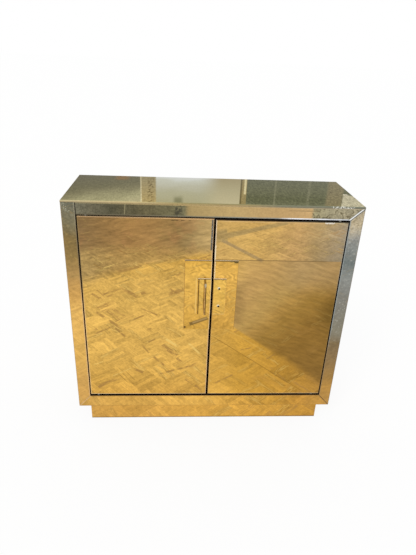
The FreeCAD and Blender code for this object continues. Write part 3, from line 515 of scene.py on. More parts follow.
def right_door_tone(paint):
    """A painted reflection of the room: tan above a level line; below it bronze that darkens to the lower
    right, and gold at the foot.
    """
    drift = paint.sway(9.0, 0.05)
    line = LARGE_RIGHT[1].z + 0.001
    below = paint.z.rise(line + 0.001, line - 0.001)
    upper = (paint.x + drift).ramp(
        (0.0, 202, 164, 96), (0.13, 211, 170, 97), (0.2, 202, 163, 98), (0.26, 194, 156, 100),
        (0.32, 173, 146, 100), (0.41, 152, 138, 114),
    )
    rising = paint.z.rise(0.706, 0.786)
    upper = upper.shade(rising * paint.x.rise(0.2, 0.35) * 0.18)
    slope = paint.x * 0.73 - paint.z * 0.68 + drift * 0.8
    bronze = slope.ramp(
        (-0.38, 204, 165, 98), (-0.29, 190, 152, 92), (-0.2, 183, 148, 84), (-0.16, 173, 135, 70),
        (-0.12, 158, 122, 58), (-0.04, 145, 109, 50), (0.2, 137, 103, 51),
    )
    # The gold foot lies under a slanting edge that falls from the large plate to the hinge side.
    gold = paint.x.ramp(
        (0.0, 210, 163, 76), (0.06, 209, 161, 72), (0.11, 202, 154, 64), (0.21, 194, 146, 59),
        (0.31, 185, 138, 57), (0.41, 164, 122, 56),
    )
    gold = gold.shade(paint.z.rise(0.196, 0.146) * 0.12)
    under = paint.z + paint.x * 0.7 + drift * 0.25
    sharp = under.rise(0.48, 0.466)
    soft = under.rise(0.498, 0.446)
    foot = paint.choose(sharp, soft, paint.x.rise(0.14, 0.26))
    lower = bronze.over(gold, foot)
    hinge_shade = paint.x.rise(0.33, 0.41) * paint.z.band(0.406, 0.526, 0.06)
    lower = lower.over((108, 84, 38), hinge_shade * 0.6)
    cooler = paint.z.rise(0.52, 0.62) * paint.x.rise(0.16, 0.3) * 0.6
    lower = lower.over((174, 145, 102), cooler)
    # A painted pale patch of reflection beside the plate, and painted shade below it.
    beside = paint.x.rise(0.125, 0.085)
    pale = beside * paint.z.rise(0.581, 0.606) * 0.7
    lower = lower.over((208, 168, 96), pale)
    shaded = beside * paint.z.band(0.426, 0.576, 0.012) * 0.62
    lower = lower.over((154, 122, 72), shaded)
    colour = upper.over(lower, below)
    bronzed = below * (1.0 - foot)

    olive = paint.most(
        paint.stroke((-0.01, 0.734), (0.1, 0.758), 0.02),
        paint.stroke((0.07, 0.752), (0.225, 0.792), 0.015),
        paint.stroke((0.0, 0.741), (0.04, 0.746), 0.045),
    )
    colour = colour.over(OLIVE_BAND, olive * 0.72)
    light = paint.stroke((0.06, 0.737), (0.21, 0.771), 0.012)
    colour = colour.over((220, 178, 104), light * 0.6)
    grey = paint.stroke((0.022, 0.73), (0.157, 0.661), 0.011)
    colour = colour.over(GREY_STREAK, grey * 0.62)
    waves = streaks(paint, -14, 0.05, 0.01, 3.0)
    colour = colour.shade(waves * paint.choose(0.4, 0.85, bronzed))
    colour = floor_reflection(paint, colour, paint.choose(0.85, 0.32, bronzed), 0.31)
    colour = colour.over(STREAK, broken(paint, RIGHT_DARK) * 0.65)
    colour = colour.over((146, 108, 44), paint.stroke(*REFLECTED_JOINT) * 0.72)
    colour = colour.over(GOLD_PALE, paint.strokes(FOOT_LIGHT) * 0.22)
    hairline = paint.z.band(line - 0.0012, line + 0.0012, 0.0008) * paint.x.rise(0.395, 0.34)
    colour = colour.over((124, 100, 62), hairline * 0.85)

    sides = {
        "foot": (CREAM, 1.0),
        "left": (paint.blend((212, 168, 92), (236, 212, 176), paint.z.rise(0.64, 0.67)), 1.0),
        "right": (paint.blend((150, 122, 78), (176, 170, 158), paint.z.rise(0.5, 0.64)), 0.45),
        "head": (paint.blend((62, 44, 26), (84, 76, 58), paint.x.rise(0.2, 0.26)), 0.85),
    }
    colour = painted_edge_lines(paint, colour, RIGHT_DOOR, sides, 0.003)
    head, side = RIGHT_DOOR[1].z, RIGHT_DOOR[0].x
    # A painted highlight just below the upper edge line.
    under = paint.stroke((0.02, head - 0.0045), (0.4, head - 0.0045), 0.003)
    colour = colour.over((226, 190, 136), under * 0.5)
    colour = chips(paint, colour, ((0.338, head - 0.004), (0.37, head - 0.004), 0.005), share=0.6)
    end = ((0.37, head - 0.004), (0.405, head - 0.004), 0.005)
    colour = chips(paint, colour, end, (176, 174, 140), 0.4)
    beside_gap = ((side + 0.0015, 0.712), (side + 0.0015, 0.662), 0.005)
    return chips(paint, colour, beside_gap, CREAM_CHIP, 0.7)


def plate_gold(paint, stops, shift):
    """A painted reflection up a stepped plate: orange gold, with curled lines and a little of the block
    floor in it.
    """
    colour = ripples(paint, paint.z.ramp(*stops), 0.46)
    return floor_reflection(paint, colour, 0.75, shift)


LARGE_GOLD = [(0.41, 208, 161, 72), (0.53, 219, 172, 82), (0.61, 228, 180, 86), (0.66, 224, 175, 78)]
LARGE_DULL = [(0.41, 206, 158, 72), (0.53, 216, 168, 80), (0.61, 222, 174, 85), (0.66, 220, 171, 80)]
SMALL_GOLD = [(0.47, 218, 171, 80), (0.53, 226, 180, 86), (0.6, 229, 184, 90)]


def large_left_tone(paint):
    """Carries a painted reflection of a loose pull that lies on the floor, and a dark spot in its lower
    corner.
    """
    colour = plate_gold(paint, LARGE_GOLD, 0.17)
    outline = paint.stroke((-0.07, 0.43), (-0.009, 0.455), 0.014)
    filling = paint.stroke((-0.06, 0.4355), (-0.012, 0.455), 0.007)
    colour = colour.over((116, 92, 52), outline * 0.85).over((178, 146, 92), filling * 0.8)
    low, high = SMALL_LEFT
    beside = paint.x.band(low.x - 0.0065, low.x - 0.0028, 0.0008)
    beside = beside * paint.z.band(low.z, high.z + 0.002, 0.002)
    colour = colour.over((238, 196, 112), beside * 0.8)
    corner = LARGE_LEFT[0]
    spot = paint.distance(corner.x + 0.004, corner.z + 0.009).rise(0.005, 0.003)
    colour = colour.over((110, 84, 44), spot)
    sides = {
        "right": (MEETING_HIGHLIGHT, 1.0),
        "left": ((176, 134, 64), 0.8),
        "head": ((104, 80, 42), 1.0),
        "foot": ((196, 158, 88), 0.4),
    }
    return painted_edge_lines(paint, colour, LARGE_LEFT, sides, 0.0022, 0.003)


def large_right_tone(paint):
    """Darker along its upper edge near the outer corner."""
    colour = plate_gold(paint, LARGE_DULL, 0.53)
    head, left = LARGE_RIGHT[1].z, LARGE_RIGHT[0].x
    # A darker band and blob along the upper edge, near the outer corner.
    tarnish = paint.stroke((0.052, head - 0.0015), (0.086, head - 0.002), 0.005)
    colour = colour.over((138, 122, 76), tarnish)
    blob = paint.stroke((0.066, head - 0.004), (0.084, head - 0.005), 0.0065)
    colour = colour.over((88, 74, 42), blob * 0.9)
    sides = {
        "left": ((186, 146, 80), 0.8),
        "right": (paint.blend((170, 130, 68), (196, 154, 84), paint.z.rise(0.56, 0.62)), 0.7),
        "foot": ((214, 176, 104), 0.5),
        "head": ((112, 90, 50), 1.0),
    }
    colour = painted_edge_lines(paint, colour, LARGE_RIGHT, sides, 0.0022, 0.0034)
    return chips(paint, colour, ((left + 0.0015, 0.66), (left + 0.0015, 0.59), 0.005), CREAM_CHIP, 0.6)


def small_left_tone(paint):
    """Its outer side has a dark band just inside its edge."""
    colour = plate_gold(paint, SMALL_GOLD, 0.71)
    sides = {"right": (MEETING_HIGHLIGHT, 1.0), "head": ((130, 110, 70), 1.0)}
    colour = painted_edge_lines(paint, colour, SMALL_LEFT, sides, 0.0022, 0.0034)
    inside = paint.x + paint.sway(90.0, 0.0012) - SMALL_LEFT[0].x
    edge = inside.band(0.0012, 0.0048, 0.0006)
    return colour.over((104, 70, 24), edge * 0.95)


def small_right_tone(paint):
    """Chipped above and to the left of its two bare pull holes."""
    colour = plate_gold(paint, SMALL_GOLD, 0.37)
    sides = {
        "foot": ((226, 204, 150), 0.7),
        "left": ((186, 146, 80), 0.7),
        "right": ((234, 188, 102), 0.5),
        "head": ((136, 112, 66), 1.0),
    }
    colour = painted_edge_lines(paint, colour, SMALL_RIGHT, sides, 0.0022, 0.0038)
    ragged = paint.sway(240.0, 0.003)
    for x, z in PULL_HOLES:
        rough = paint.distance(x - 0.0012, z + 0.0022) + ragged
        colour = paint.chip(colour, rough.rise(0.0048, 0.0038), CREAM_CHIP)
    return colour


def stile_tone(paint, box, stops, sides, strength, grit):
    """Colours up a stile as a painted reflection, with clouds that shift their borders."""
    colour = (paint.z + paint.sway(16.0, 0.05)).ramp(*stops)
    colour = colour.shade(streaks(paint, 28, 0.03, 0.012, 5.0) * 0.45)
    growth = paint.choose(1.0, 2.6, paint.z.rise(0.6, 0.78))
    colour = colour.shade(paint.sway(180.0, grit, 2.0) * growth)
    return painted_edge_lines(paint, floor_reflection(paint, colour, strength, 0.9), box, sides, 0.003)


def left_stile_tone(paint):
    """A painted reflection: gold below, brown from halfway up, olive grey at the top."""
    stops = [
        (0.08, 207, 160, 87), (0.2, 211, 165, 91), (0.3, 224, 177, 93), (0.48, 228, 181, 99),
        (0.54, 214, 166, 92), (0.6, 180, 144, 88), (0.66, 148, 122, 74), (0.73, 134, 113, 72),
        (0.77, 127, 118, 90), (0.84, 119, 117, 100),
    ]
    edge = paint.z.ramp(
        (0.5, 238, 198, 142), (0.62, 148, 124, 84), (0.74, 146, 130, 100), (0.84, 170, 164, 140)
    )
    sides = {"right": (edge, 0.75), "left": ((150, 122, 80), 0.35)}
    colour = stile_tone(paint, LEFT_STILE, stops, sides, 0.55, 0.3)
    side, head = LEFT_STILE[0].x, LEFT_STILE[1].z
    corner = ((side + 0.003, head - 0.004), (side + 0.024, head - 0.03), 0.014)
    colour = chips(paint, colour, corner, (186, 184, 160), 0.22)
    # A painted highlight along the mitre at the foot.
    return mitre(paint, colour, FOOT_LEFT, CREAM, 0.55, 0.0024)


def right_stile_tone(paint):
    """A painted reflection: deep gold at the foot, grey and gritty above, beige with dark scrawls at the
    top.
    """
    stops = [
        (0.08, 186, 143, 79), (0.16, 184, 140, 72), (0.21, 162, 126, 71), (0.29, 145, 119, 82),
        (0.35, 129, 110, 80), (0.4, 136, 130, 112), (0.53, 131, 129, 121), (0.6, 142, 143, 137),
        (0.66, 114, 121, 118), (0.74, 150, 150, 144), (0.79, 196, 181, 150), (0.84, 174, 163, 141),
    ]
    light = paint.z.rise(0.306, 0.426)
    edge = paint.blend((150, 126, 92), (150, 158, 158), light)
    sides = {"left": (edge, 0.55), "right": ((120, 98, 76), 0.45)}
    colour = stile_tone(paint, RIGHT_STILE, stops, sides, 0.22, 0.42)
    flecks = paint.noise(150.0, 2.0).rise(0.62, 0.7) * light
    colour = colour.over((190, 188, 176), flecks * 0.5)
    scrawl = paint.noise(45.0, 3.0).band(0.48, 0.5, 0.012) * paint.z.rise(0.756, 0.786)
    colour = colour.over((112, 98, 66), scrawl * 0.6)
    colour = mitre(paint, colour, HEAD_RIGHT, (60, 56, 48), 0.85, 0.0022)
    return mitre(paint, colour, FOOT_RIGHT, (122, 92, 52), 0.7, 0.002)


def top_rail_tone(paint):
    """A painted reflection: dark olive and gritty on the left, tan along the middle, beige with dark
    scrawls at the right end.
    """
    x = paint.x + paint.sway(40.0, 0.02)
    olive = x.ramp(
        (-0.42, 121, 117, 97), (-0.37, 110, 104, 84), (-0.31, 90, 86, 67), (-0.21, 104, 96, 70),
        (-0.1, 120, 114, 84),
    )
    tan = x.ramp(
        (-0.08, 170, 147, 99), (0.04, 193, 165, 112), (0.19, 191, 158, 108), (0.3, 204, 168, 117)
    )
    beige = x.ramp((0.3, 164, 154, 118), (0.34, 160, 151, 121), (0.45, 172, 162, 136))
    right_end = paint.x.rise(0.29, 0.3)
    colour = olive.over(tan, paint.x.rise(-0.096, -0.078)).over(beige, right_end)
    gritty = paint.most(paint.x.rise(-0.08, -0.1), right_end)
    grit = paint.sway(190.0, 1.0, 2.0) * 0.9 + paint.sway(60.0, 1.0) * 0.6
    colour = colour.shade(grit * paint.choose(0.5, 1.5, gritty))
    square = paint.x.band(-0.122, -0.101, 0.003) * paint.noise(120.0).rise(0.62, 0.45)
    colour = colour.over((66, 64, 54), square * 0.75)
    scrawl = paint.noise(30.0, 3.0).band(0.48, 0.51, 0.018)
    colour = colour.over((90, 80, 54), scrawl * right_end * 0.85)
    stain = paint.stroke((0.22, 0.8285), (0.315, 0.8285), 0.0035) * paint.noise(60.0)
    colour = colour.over((138, 118, 84), stain)
    scratch = paint.stroke((-0.2715, 0.806), (-0.268, 0.842), 0.003) * 0.7
    colour = colour.over((158, 148, 112), scratch)
    shine = paint.x.ramp(
        (-0.42, 106, 98, 78), (-0.2, 118, 110, 90), (-0.06, 128, 124, 106), (0.04, 140, 140, 128),
        (0.19, 152, 150, 142), (0.23, 244, 245, 250), (0.34, 240, 243, 250), (0.4, 206, 210, 216),
    )
    above = paint.x.ramp(
        (-0.42, 150, 140, 108), (-0.1, 196, 172, 120), (0.2, 180, 162, 128), (0.4, 184, 172, 144)
    )
    colour = painted_edge_lines(paint, colour, TOP_RAIL, {"left": ((44, 40, 34), 0.8), "head": (above, 0.7)}, 0.0034)
    colour = painted_edge_lines(paint, colour, TOP_RAIL, {"foot": (shine, 1.0)}, 0.0054)
    # The upper right mitre: a white painted highlight edged with darker lines, and the dark joint in its
    # middle.
    colour = mitre(paint, colour, HEAD_RIGHT, (70, 66, 56), 0.7, 0.009)
    colour = mitre(paint, colour, HEAD_RIGHT, (240, 240, 236), 1.0, 0.0066)
    return mitre(paint, colour, HEAD_RIGHT, (60, 56, 48), 0.5, 0.0014)


def bottom_rail_tone(paint):
    """A painted reflection of the floor: gold, a little deeper to the right."""
    colour = paint.x.ramp(
        (-0.46, 213, 166, 86), (-0.32, 223, 173, 86), (-0.06, 223, 174, 85), (0.1, 216, 165, 75),
        (0.24, 207, 156, 66), (0.34, 199, 147, 64), (0.46, 192, 146, 75),
    )
    colour = colour.shade(paint.sway(60.0, 0.5))
    colour = floor_reflection(paint, colour, 0.85, 0.4)
    sides = {"foot": ((170, 126, 62), 0.9), "head": ((156, 116, 56), 0.45)}
    colour = painted_edge_lines(paint, colour, BOTTOM_RAIL, sides, 0.003)
    # A painted highlight along the mitre at the foot.
    colour = mitre(paint, colour, FOOT_LEFT, CREAM, 0.55, 0.0024)
    return mitre(paint, colour, FOOT_RIGHT, (122, 92, 52), 0.7, 0.002)


def plinth_tone(paint):
    # A painted reflection of the floor: gold, deeper to the right.
    colour = paint.x.ramp(
        (-0.42, 210, 160, 80), (-0.3, 211, 160, 76), (-0.2, 220, 168, 81), (0.08, 221, 168, 75),
        (0.24, 206, 155, 67), (0.42, 195, 144, 61),
    )
    colour = colour.shade(paint.sway(60.0, 0.5))
    # Painted contact shadow: darker at the foot, where the glass meets the floor.
    colour = colour.over((120, 88, 44), paint.z.rise(0.0095, 0.003) * 0.9)
    return floor_reflection(paint, colour, 0.8, 0.15)


def side_tone(paint):
    """A painted reflection for the ends of the cupboard: gold that greys towards the top."""
    colour = (paint.z + paint.sway(6.0, 0.25)).ramp(
        (0.0, 203, 154, 74), (0.25, 218, 173, 90), (0.5, 188, 156, 104), (0.8, 150, 142, 112)
    )
    colour = colour.shade(paint.sway(200.0, 0.3, 2.0))
    return floor_reflection(paint, colour, 0.75, across=paint.y)


def less_gleam(paint, colour):
    """A colour less the gleam that the top mirror adds to it when it is seen at a low angle."""
    share = [1 / TOP_REFLECTION] * 3
    gleam = [-TOP_GLEAM / TOP_REFLECTION] * 3
    colour = paint.node("VectorMath", (colour, share, gleam), operation="MULTIPLY_ADD")
    return paint.node("VectorMath", (colour,), operation="MAXIMUM")


def top_tone(paint):
    """An olive mirror with a painted reflection of the room: a pale champagne field and narrow bands that
    fan out to the back.
    """
    fan = (paint.x - FAN_X) / (paint.y - FAN_Y)
    depth = paint.y - FRONT
    cloud = paint.sway(12.0, 1.0)
    # Left: bright at the front, olive at the back and at the outer end.
    left = (paint.x * 0.55 - depth + cloud * 0.12).ramp(
        (-0.52, 106, 101, 78), (-0.36, 114, 109, 82), (-0.3, 130, 124, 94), (-0.25, 148, 142, 108),
        (-0.2, 166, 160, 122), (-0.14, 176, 168, 130),
    )
    smear = paint.x.band(-0.325, -0.283, 0.012) * depth.rise(0.235, 0.27)
    left = left.over((142, 108, 66), smear * 0.7)
    # Middle: the painted reflection of a pale window, brightest at the back.
    middle = (depth + cloud * 0.1).ramp(
        (0.0, 168, 162, 127), (0.1, 174, 170, 140), (0.18, 184, 181, 158), (0.25, 196, 196, 178),
        (0.3, 212, 214, 206),
    )
    warm = fan.rise(0.045, 0.1)
    beige = depth.ramp((0.0, 186, 176, 140), (0.15, 176, 166, 130), (0.3, 163, 150, 112))
    middle = middle.over(beige, warm)
    smudge = fan.band(-0.006, 0.012, 0.005) * (depth + cloud * 0.05).rise(0.085, 0.03)
    middle = middle.over((118, 116, 84), smudge * 0.75)
    # Right: gritty dark olive with faint pale lines.
    right = (depth + cloud * 0.1).ramp(
        (0.0, 110, 110, 84), (0.06, 98, 99, 72), (0.15, 107, 107, 80), (0.3, 105, 105, 80)
    )
    for place, half_width, strength in ((0.214, 0.0015, 0.4), (0.289, 0.003, 0.3)):
        stripe = fan.band(place - half_width, place + half_width, 0.0015)
        right = right.over((150, 146, 116), stripe * strength)
    tan = fan.band(0.33, 0.366, 0.004)
    right = right.over((132, 122, 90), tan)
    bright_corner = fan.rise(0.365, 0.368) * (depth + fan * 0.8).rise(0.435, 0.425)
    right = right.over((188, 180, 150), bright_corner)

    colour = left.over(depth.ramp((0.0, 173, 153, 104), (0.3, 151, 139, 102)), fan.rise(-0.077, -0.075))
    dashes = paint.vector(paint.x, paint.y * 0.5, 0.0)
    speck = fan.band(-0.062, -0.05, 0.003) * paint.noise(110.0, place=dashes).rise(0.5, 0.58)
    colour = colour.over((112, 96, 60), speck * 0.85)
    colour = colour.over((216, 202, 160), fan.band(-0.078, -0.0755, 0.001) * 0.75)
    colour = colour.over(middle, fan.rise(-0.047, -0.043)).over((112, 100, 62), fan.rise(0.1365, 0.138))
    colour = colour.over((150, 134, 90), fan.rise(0.14, 0.1415))
    colour = colour.over((228, 210, 160), fan.band(0.1455, 0.15, 0.001) * depth.rise(0.1, 0.12) * 0.85)
    colour = colour.over(right, fan.rise(0.1505, 0.152))
    gritty = fan.rise(0.15, 0.153)
    plain = fan.band(-0.044, 0.137, 0.002)
    drawn_out = paint.vector(paint.x, paint.y * 0.3, 0.0)
    grit = paint.noise(190.0, 2.0, place=drawn_out) - 0.5 + paint.sway(70.0, 1.0, 2.0) * 0.5
    depth_of_grit = paint.choose(paint.choose(0.8, 1.5, gritty), 0.14, plain)
    colour = colour.shade(grit * depth_of_grit)
    flat = paint.vector(paint.x, 0.0, depth)
    ragged = paint.noise(140.0).rise(0.42, 0.48)
    chip = paint.distance(0.436, 0.134, flat).rise(0.01, 0.006) * ragged
    return paint.chip(less_gleam(paint, colour), chip, (226, 216, 190))


def top_edge_tone(paint):
    """The top mirror's edges: in front tan on the left and grey-green on the right, olive at the back."""
    upper = paint.x.ramp(
        (-0.46, 188, 174, 132), (-0.24, 192, 174, 126), (-0.1, 148, 136, 92), (0.1, 142, 132, 92),
        (0.2, 122, 122, 98), (0.46, 114, 118, 102),
    )
    lower = paint.x.ramp(
        (-0.46, 160, 144, 110), (-0.24, 168, 148, 108), (-0.1, 170, 148, 100), (0.1, 166, 144, 100),
        (0.2, 122, 120, 100), (0.46, 116, 112, 96),
    )
    height = paint.z + paint.sway(50.0, 0.002)
    colour = lower.over(upper, height.rise(TOP_GLASS[0].z + 0.001, TOP_GLASS[0].z + 0.0045))
    colour = colour.shade(paint.sway(110.0, 0.35)).over((110, 104, 78), paint.normal[1].rise(0.3, 0.5))
    worn = paint.noise(240.0).rise(0.5, 0.56) * paint.normal[1].rise(-0.3, -0.5)
    white = paint.x.band(0.352, 0.42, 0.004) * worn * 0.8
    return colour.over(WHITE_CHIP, white)


# -------- mirror materials


def mirror(name, nodes, tone, ground=EDGE_BLACK, holes=(), face=1, haze=0.035, tint=1.0):
    """A mirror material.

    tone(paint) gives the colour of the silvering with its painted reflections and edge lines, ground the
    colour of the ground edges, holes the places of dark screw holes, face the axis that the show face looks
    along, haze the mirror's roughness, and tint how much of the light it returns at a low angle. A ground
    that is a function gives the colour of the edges, and with no painted edge lines that of the bevels too.
    """
    paint = Paint(name)
    colour = tone(paint)
    specks = paint.noise(240.0, 2.0).rise(0.7, 0.76) * paint.noise(9.0, 2.0).rise(0.46, 0.62)
    colour = bevels(paint, colour.over(SPOT, specks * 0.5))
    facing = abs(paint.normal[face])
    edge = facing.rise(0.45, 0.3)
    if callable(ground):
        ground = ground(paint)
        edge = edge if paint.sides else facing.rise(0.9, 0.8)
    colour = colour.over(ground, edge)
    bare = paint.most(edge, paint.bare)
    for x, z in holes:
        hole = paint.distance(x, z - 0.0004).rise(0.0037, 0.0029)
        colour, bare = colour.over(HOLE, hole), paint.most(bare, hole)

    smear = paint.noise(7.0, 4.0, 0.6)
    roughness = haze + smear.rise(0.5, 0.75) * (haze * 1.4)
    paint.bump(paint.noise(3.0, 1.0), 0.0008, 0.5)
    paint.finish(
        nodes,
        Base_Color=colour,
        Metallic=1.0 - bare,
        Roughness=paint.choose(roughness, 0.55, bare),
        Specular_IOR_Level=0.3,
        Specular_Tint=(tint, tint, tint, 1.0),
    )


def plate_edge(upper, side):
    """The ground edges of a stepped plate: a lighter colour facing up, painted as light from above, and
    another on the other sides.
    """
    def ground(paint):
        return paint.blend(side, upper, paint.normal[2].rise(0.3, 0.6)).shade(paint.sway(90.0, 0.5))
    return ground


def left_door_edge(paint):
    """Dark ground edges, but for the upper one, which is lighter towards the hinge side."""
    bare = paint.blend((176, 158, 124), (104, 82, 58), paint.x.rise(-0.3, -0.04))
    return paint.blend(EDGE_BLACK, bare, paint.normal[2].rise(0.3, 0.6))


def make_mirrors():
    mirror("door_left_mirror", ["door_mirror_left"], left_door_tone, left_door_edge)
    mirror("door_right_mirror", ["door_mirror_right"], right_door_tone, holes=PULL_HOLES)
    large_edge = plate_edge((232, 216, 182), (176, 132, 62))
    small_edge = plate_edge((236, 226, 196), (176, 132, 62))
    plates = [
        ("left", large_left_tone, small_left_tone, ()),
        ("right", large_right_tone, small_right_tone, PULL_HOLES),
    ]
    for side, large, small, holes in plates:
        mirror("large_plate_" + side, ["door_plate_outer_" + side], large, large_edge, holes)
        mirror("small_plate_" + side, ["door_plate_inner_" + side], small, small_edge, holes)
    strips = {
        "stile_left": left_stile_tone,
        "stile_right": right_stile_tone,
        "rail_top": top_rail_tone,
        "rail_bottom": bottom_rail_tone,
    }
    for name, tone in strips.items():
        mirror(name + "_mirror", ["mirror_" + name], tone)
    mirror("plinth_mirror", ["plinth_mirror_front"], plinth_tone, GLASS_EDGE)
    sides = ["mirror_side_left", "mirror_side_right", "plinth_mirror_left", "plinth_mirror_right"]
    mirror("side_mirror", sides, side_tone, GLASS_EDGE, face=0)
    mirror("top_mirror", ["mirror_top"], top_tone, top_edge_tone, face=2, haze=0.08, tint=TOP_TINT)


# -------- boards and metal


def wood(name, nodes, colours, run, gloss, upper_end=None):
    """Wood with its grain along axis 0, 1 or 2, the run; upper_end is the colour of a lighter upper end."""
    paint = Paint(name)
    light, dark = colours
    stretched = [axis * 22.0 for axis in (paint.x, paint.y, paint.z)]
    stretched[run] = (paint.x, paint.y, paint.z)[run] * 1.4
    rings = paint.noise(1.6, 5.0, 0.6, place=paint.vector(*stretched))
    pores = paint.noise(1.5, 2.0, place=paint.vector(*[v * 6.0 for v in stretched]))
    colour = paint.blend(dark, light, rings.rise(0.32, 0.68))
    colour = colour.over(dark, pores.rise(0.58, 0.72) * 0.5)
    if upper_end:
        # The upper end is lighter, fading out towards the meeting edge.
        bare = paint.normal[2].rise(0.4, 0.7) * paint.x.rise(0.06, -0.26)
        colour = colour.over(upper_end, bare)
    scuffs = paint.noise(18.0, 4.0)
    paint.bump(rings + pores * 0.6, 0.0004, 0.5)
    paint.finish(nodes, Base_Color=colour, Roughness=gloss + scuffs * 0.25, Specular_IOR_Level=0.4)


def make_boards():
    """Stained show edges, lacquered inside, bare wood below."""
    stain = ((50, 38, 33), (22, 17, 16))
    lacquer = ((104, 74, 52), (66, 45, 32))
    pine = ((212, 178, 130), (176, 136, 88))
    beech = ((214, 176, 132), (190, 148, 104))
    upright = ["door_core_right", "face_frame_stile_left", "face_frame_stile_right"]
    level = ["face_frame_rail_top", "face_frame_rail_bottom", "catch_block"]
    shelves = ["carcass_panel_top", "carcass_panel_bottom", "shelf"]
    wood("stained_left_door", ["door_core_left"], stain, 2, 0.4, (204, 172, 126))
    wood("stained_upright", upright, stain, 2, 0.4)
    wood("stained_level", level, stain, 0, 0.4)
    wood("lacquered_upright", ["carcass_side_left", "carcass_side_right"], lacquer, 2, 0.3)
    wood("lacquered_level", shelves, lacquer, 0, 0.3)
    wood("pine_level", ["plinth_board_front", "plinth_board_back"], pine, 0, 0.6)
    wood("pine_deep", ["plinth_board_left", "plinth_board_right"], pine, 1, 0.6)
    wood("pine_block", ["plinth_glue_blocks"], pine, 2, 0.6)
    wood("beech", ["carcass_dowels"], beech, 0, 0.6)


def make_hardboard():
    """Brown pressed fibre for the back."""
    paint = Paint("hardboard")
    fibres = paint.noise(420.0, 4.0, 0.7)
    clouds = paint.noise(5.0, 4.0, 0.6)
    colour = paint.blend((112, 80, 54), (150, 112, 78), fibres.rise(0.3, 0.7))
    colour = colour.over((92, 66, 46), clouds.rise(0.5, 0.8) * 0.5)
    scratches = paint.noise(2.0, 2.0, place=paint.vector(paint.x * 3.0, 0.0, paint.z * 120.0))
    colour = colour.over((172, 140, 104), scratches.rise(0.7, 0.76) * 0.35)
    paint.bump(fibres, 0.0003, 0.6)
    paint.finish(["back_panel"], Base_Color=colour, Roughness=0.55 + clouds * 0.25)


def scratched(paint):
    """Fine upright scratches, felt in the surface too."""
    scratches = paint.noise(1.0, 2.0, place=paint.vector(paint.x * 900.0, paint.y, paint.z * 30.0))
    paint.bump(scratches, 0.00008, 0.5)
    return scratches


def metal(name, nodes, bright, dull, roughness):
    """Metal whose tarnish gathers in clouds, with fine scratches."""
    paint = Paint(name)
    tarnish = (paint.noise(60.0, 4.0, 0.6) * 0.8 + scratched(paint) * 0.2).rise(0.38, 0.62)
    colour = paint.blend(bright, dull, tarnish)
    paint.finish(nodes, Base_Color=colour, Metallic=1.0, Roughness=roughness + tarnish * 0.22)


def make_pull():
    """Aged brass: its narrow front tan on the left half and dark brown on the right as painted highlight
    and shade, its upper faces and upper end with painted highlights.
    """
    low, high = PULL
    middle = (low.x + high.x) / 2
    paint = Paint("aged_brass")
    tarnish = paint.noise(90.0, 4.0, 0.6).rise(0.42, 0.62)
    sides = paint.blend((180, 138, 70), (154, 114, 52), tarnish)
    tan = paint.blend((200, 160, 98), (178, 140, 82), tarnish)
    brown = paint.blend((96, 64, 20), (82, 52, 14), tarnish)
    # A painted highlight on the front's left half, and painted shade on its right half.
    front = tan.over(brown, paint.x.rise(middle - 0.0006, middle + 0.0012))
    upper = paint.blend((176, 160, 124), (148, 128, 92), tarnish)
    colour = sides.over(front, abs(paint.normal[1]).rise(0.5, 0.8))
    # A painted highlight on the faces that look up.
    colour = colour.over(upper, paint.normal[2].rise(0.5, 0.8))
    # A painted highlight on the blade's front at its upper end.
    from_end = paint.distance(middle - 0.0005, high.z - 0.002)
    upper_end_highlight = (from_end + paint.sway(150.0, 0.01)).rise(0.014, 0.0075)
    upper_end_highlight = upper_end_highlight * paint.y.rise(low.y + 0.02, low.y + 0.006)
    colour = colour.over((186, 176, 150), upper_end_highlight * 0.85)
    scratched(paint)
    paint.finish(["pull_blade_left"], Base_Color=colour, Metallic=1.0, Roughness=0.22 + tarnish * 0.25)


def make_hardware():
    """Zinc plated steel, ferrite magnets and moulded catches."""
    steel = [
        name
        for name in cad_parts
        if "screws" in name or name.startswith(("hinge_", "strike_plate", "shelf_pins"))
    ]
    metal("zinc_steel", steel, (196, 196, 188), (140, 136, 122), 0.28)
    metal("ferrite", ["catch_magnet_left", "catch_magnet_right"], (74, 74, 76), (44, 44, 46), 0.5)
    paint = Paint("catch_plastic")
    speckle = paint.noise(300.0, 3.0)
    paint.bump(speckle, 0.0001, 0.5)
    colour = paint.blend((96, 66, 46), (70, 46, 32), speckle.rise(0.4, 0.6))
    housings = ["catch_housing_left", "catch_housing_right"]
    paint.finish(housings, Base_Color=colour, Roughness=0.38 + speckle * 0.2)


# -------- stage, light, camera


def seen_rays(tree):
    """1 for the rays that show a white surrounding: camera, glossy and transmission rays."""
    path = tree.nodes.new("ShaderNodeLightPath")
    seen = path.outputs["Is Camera Ray"]
    for ray in ("Is Glossy Ray", "Is Transmission Ray"):
        either = tree.nodes.new("ShaderNodeMath")
        either.operation = "MAXIMUM"
        tree.links.new(seen, either.inputs[0])
        tree.links.new(path.outputs[ray], either.inputs[1])
        seen = either.outputs[0]
    return seen


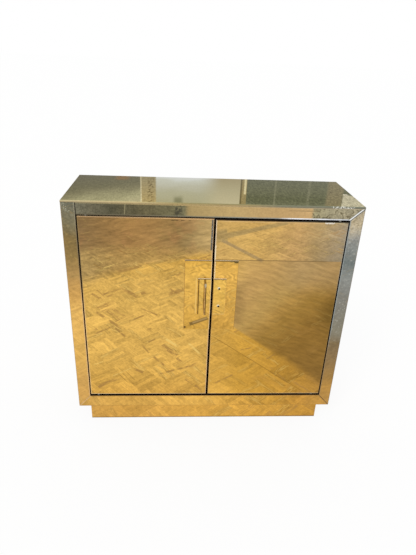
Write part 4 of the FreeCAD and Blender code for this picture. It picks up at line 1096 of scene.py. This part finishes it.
def make_stage():
    """A wide white floor that keeps the cupboard's shadow."""
    half = FLOOR_HALF
    mesh = bpy.data.meshes.new("floor")
    corners = [(-half, -half, 0), (half, -half, 0), (half, half, 0), (-half, half, 0)]
    mesh.from_pydata(corners, [], [(0, 1, 2, 3)])
    floor = bpy.data.objects.new("floor", mesh)
    bpy.context.scene.collection.objects.link(floor)
    paint = Paint("white_floor")
    dust = paint.noise(3.0, 4.0)
    colour = paint.blend((247, 247, 246), (244, 244, 243), dust)
    paint.finish(Base_Color=colour, Roughness=0.9, Specular_IOR_Level=0.0)
    glow = paint.new("Emission", {"Strength": 1.0})
    share = paint.math("MULTIPLY", seen_rays(paint.tree), FLOOR_GLOW)
    mix = paint.new("MixShader", (share, paint.shader.outputs[0], glow.outputs[0]))
    paint.link(mix.outputs[0], paint.tree.nodes["Material Output"].inputs["Surface"])
    mesh.materials.append(paint.material)


def make_world():
    """White for camera, glossy and transmission rays, a little less for the light it gives."""
    world = bpy.data.worlds.new("studio")
    world.use_nodes = True
    tree = world.node_tree
    background = tree.nodes["Background"]
    background.inputs["Color"].default_value = (1.0, 1.0, 1.0, 1.0)
    strength = tree.nodes.new("ShaderNodeMapRange")
    strength.inputs["To Min"].default_value = WORLD_LIGHT
    strength.inputs["To Max"].default_value = 1.0
    tree.links.new(seen_rays(tree), strength.inputs["Value"])
    tree.links.new(strength.outputs["Result"], background.inputs["Strength"])
    bpy.context.scene.world = world


def make_sun():
    """One wide soft lamp from the front left; the mirrors don't show its disc."""
    light = bpy.data.lights.new("key", "SUN")
    light.energy = SUN_LIGHT
    light.angle = SUN_WIDTH
    lamp = bpy.data.objects.new("key", light)
    lamp.rotation_euler = SUN_AIM.to_track_quat("-Z", "Y").to_euler()
    lamp.visible_glossy = False
    bpy.context.scene.collection.objects.link(lamp)


def make_camera():
    camera = bpy.data.cameras.new("camera")
    camera.lens = CAMERA_LENS
    camera.sensor_width = SENSOR
    camera.clip_start = 0.01
    body = bpy.data.objects.new("camera", camera)
    turn = (
        Matrix.Rotation(-CAMERA_YAW, 4, "Z")
        @ Matrix.Rotation(math.pi / 2 - CAMERA_PITCH, 4, "X")
        @ Matrix.Rotation(CAMERA_ROLL, 4, "Z")
    )
    body.matrix_world = Matrix.Translation(CAMERA_PLACE) @ turn
    bpy.context.scene.collection.objects.link(body)
    bpy.context.scene.camera = body


make_camera()
make_stage()
make_world()
make_sun()
bpy.context.scene.view_settings.view_transform = "Standard"

make_mirrors()
make_boards()
make_hardboard()
make_pull()
make_hardware()
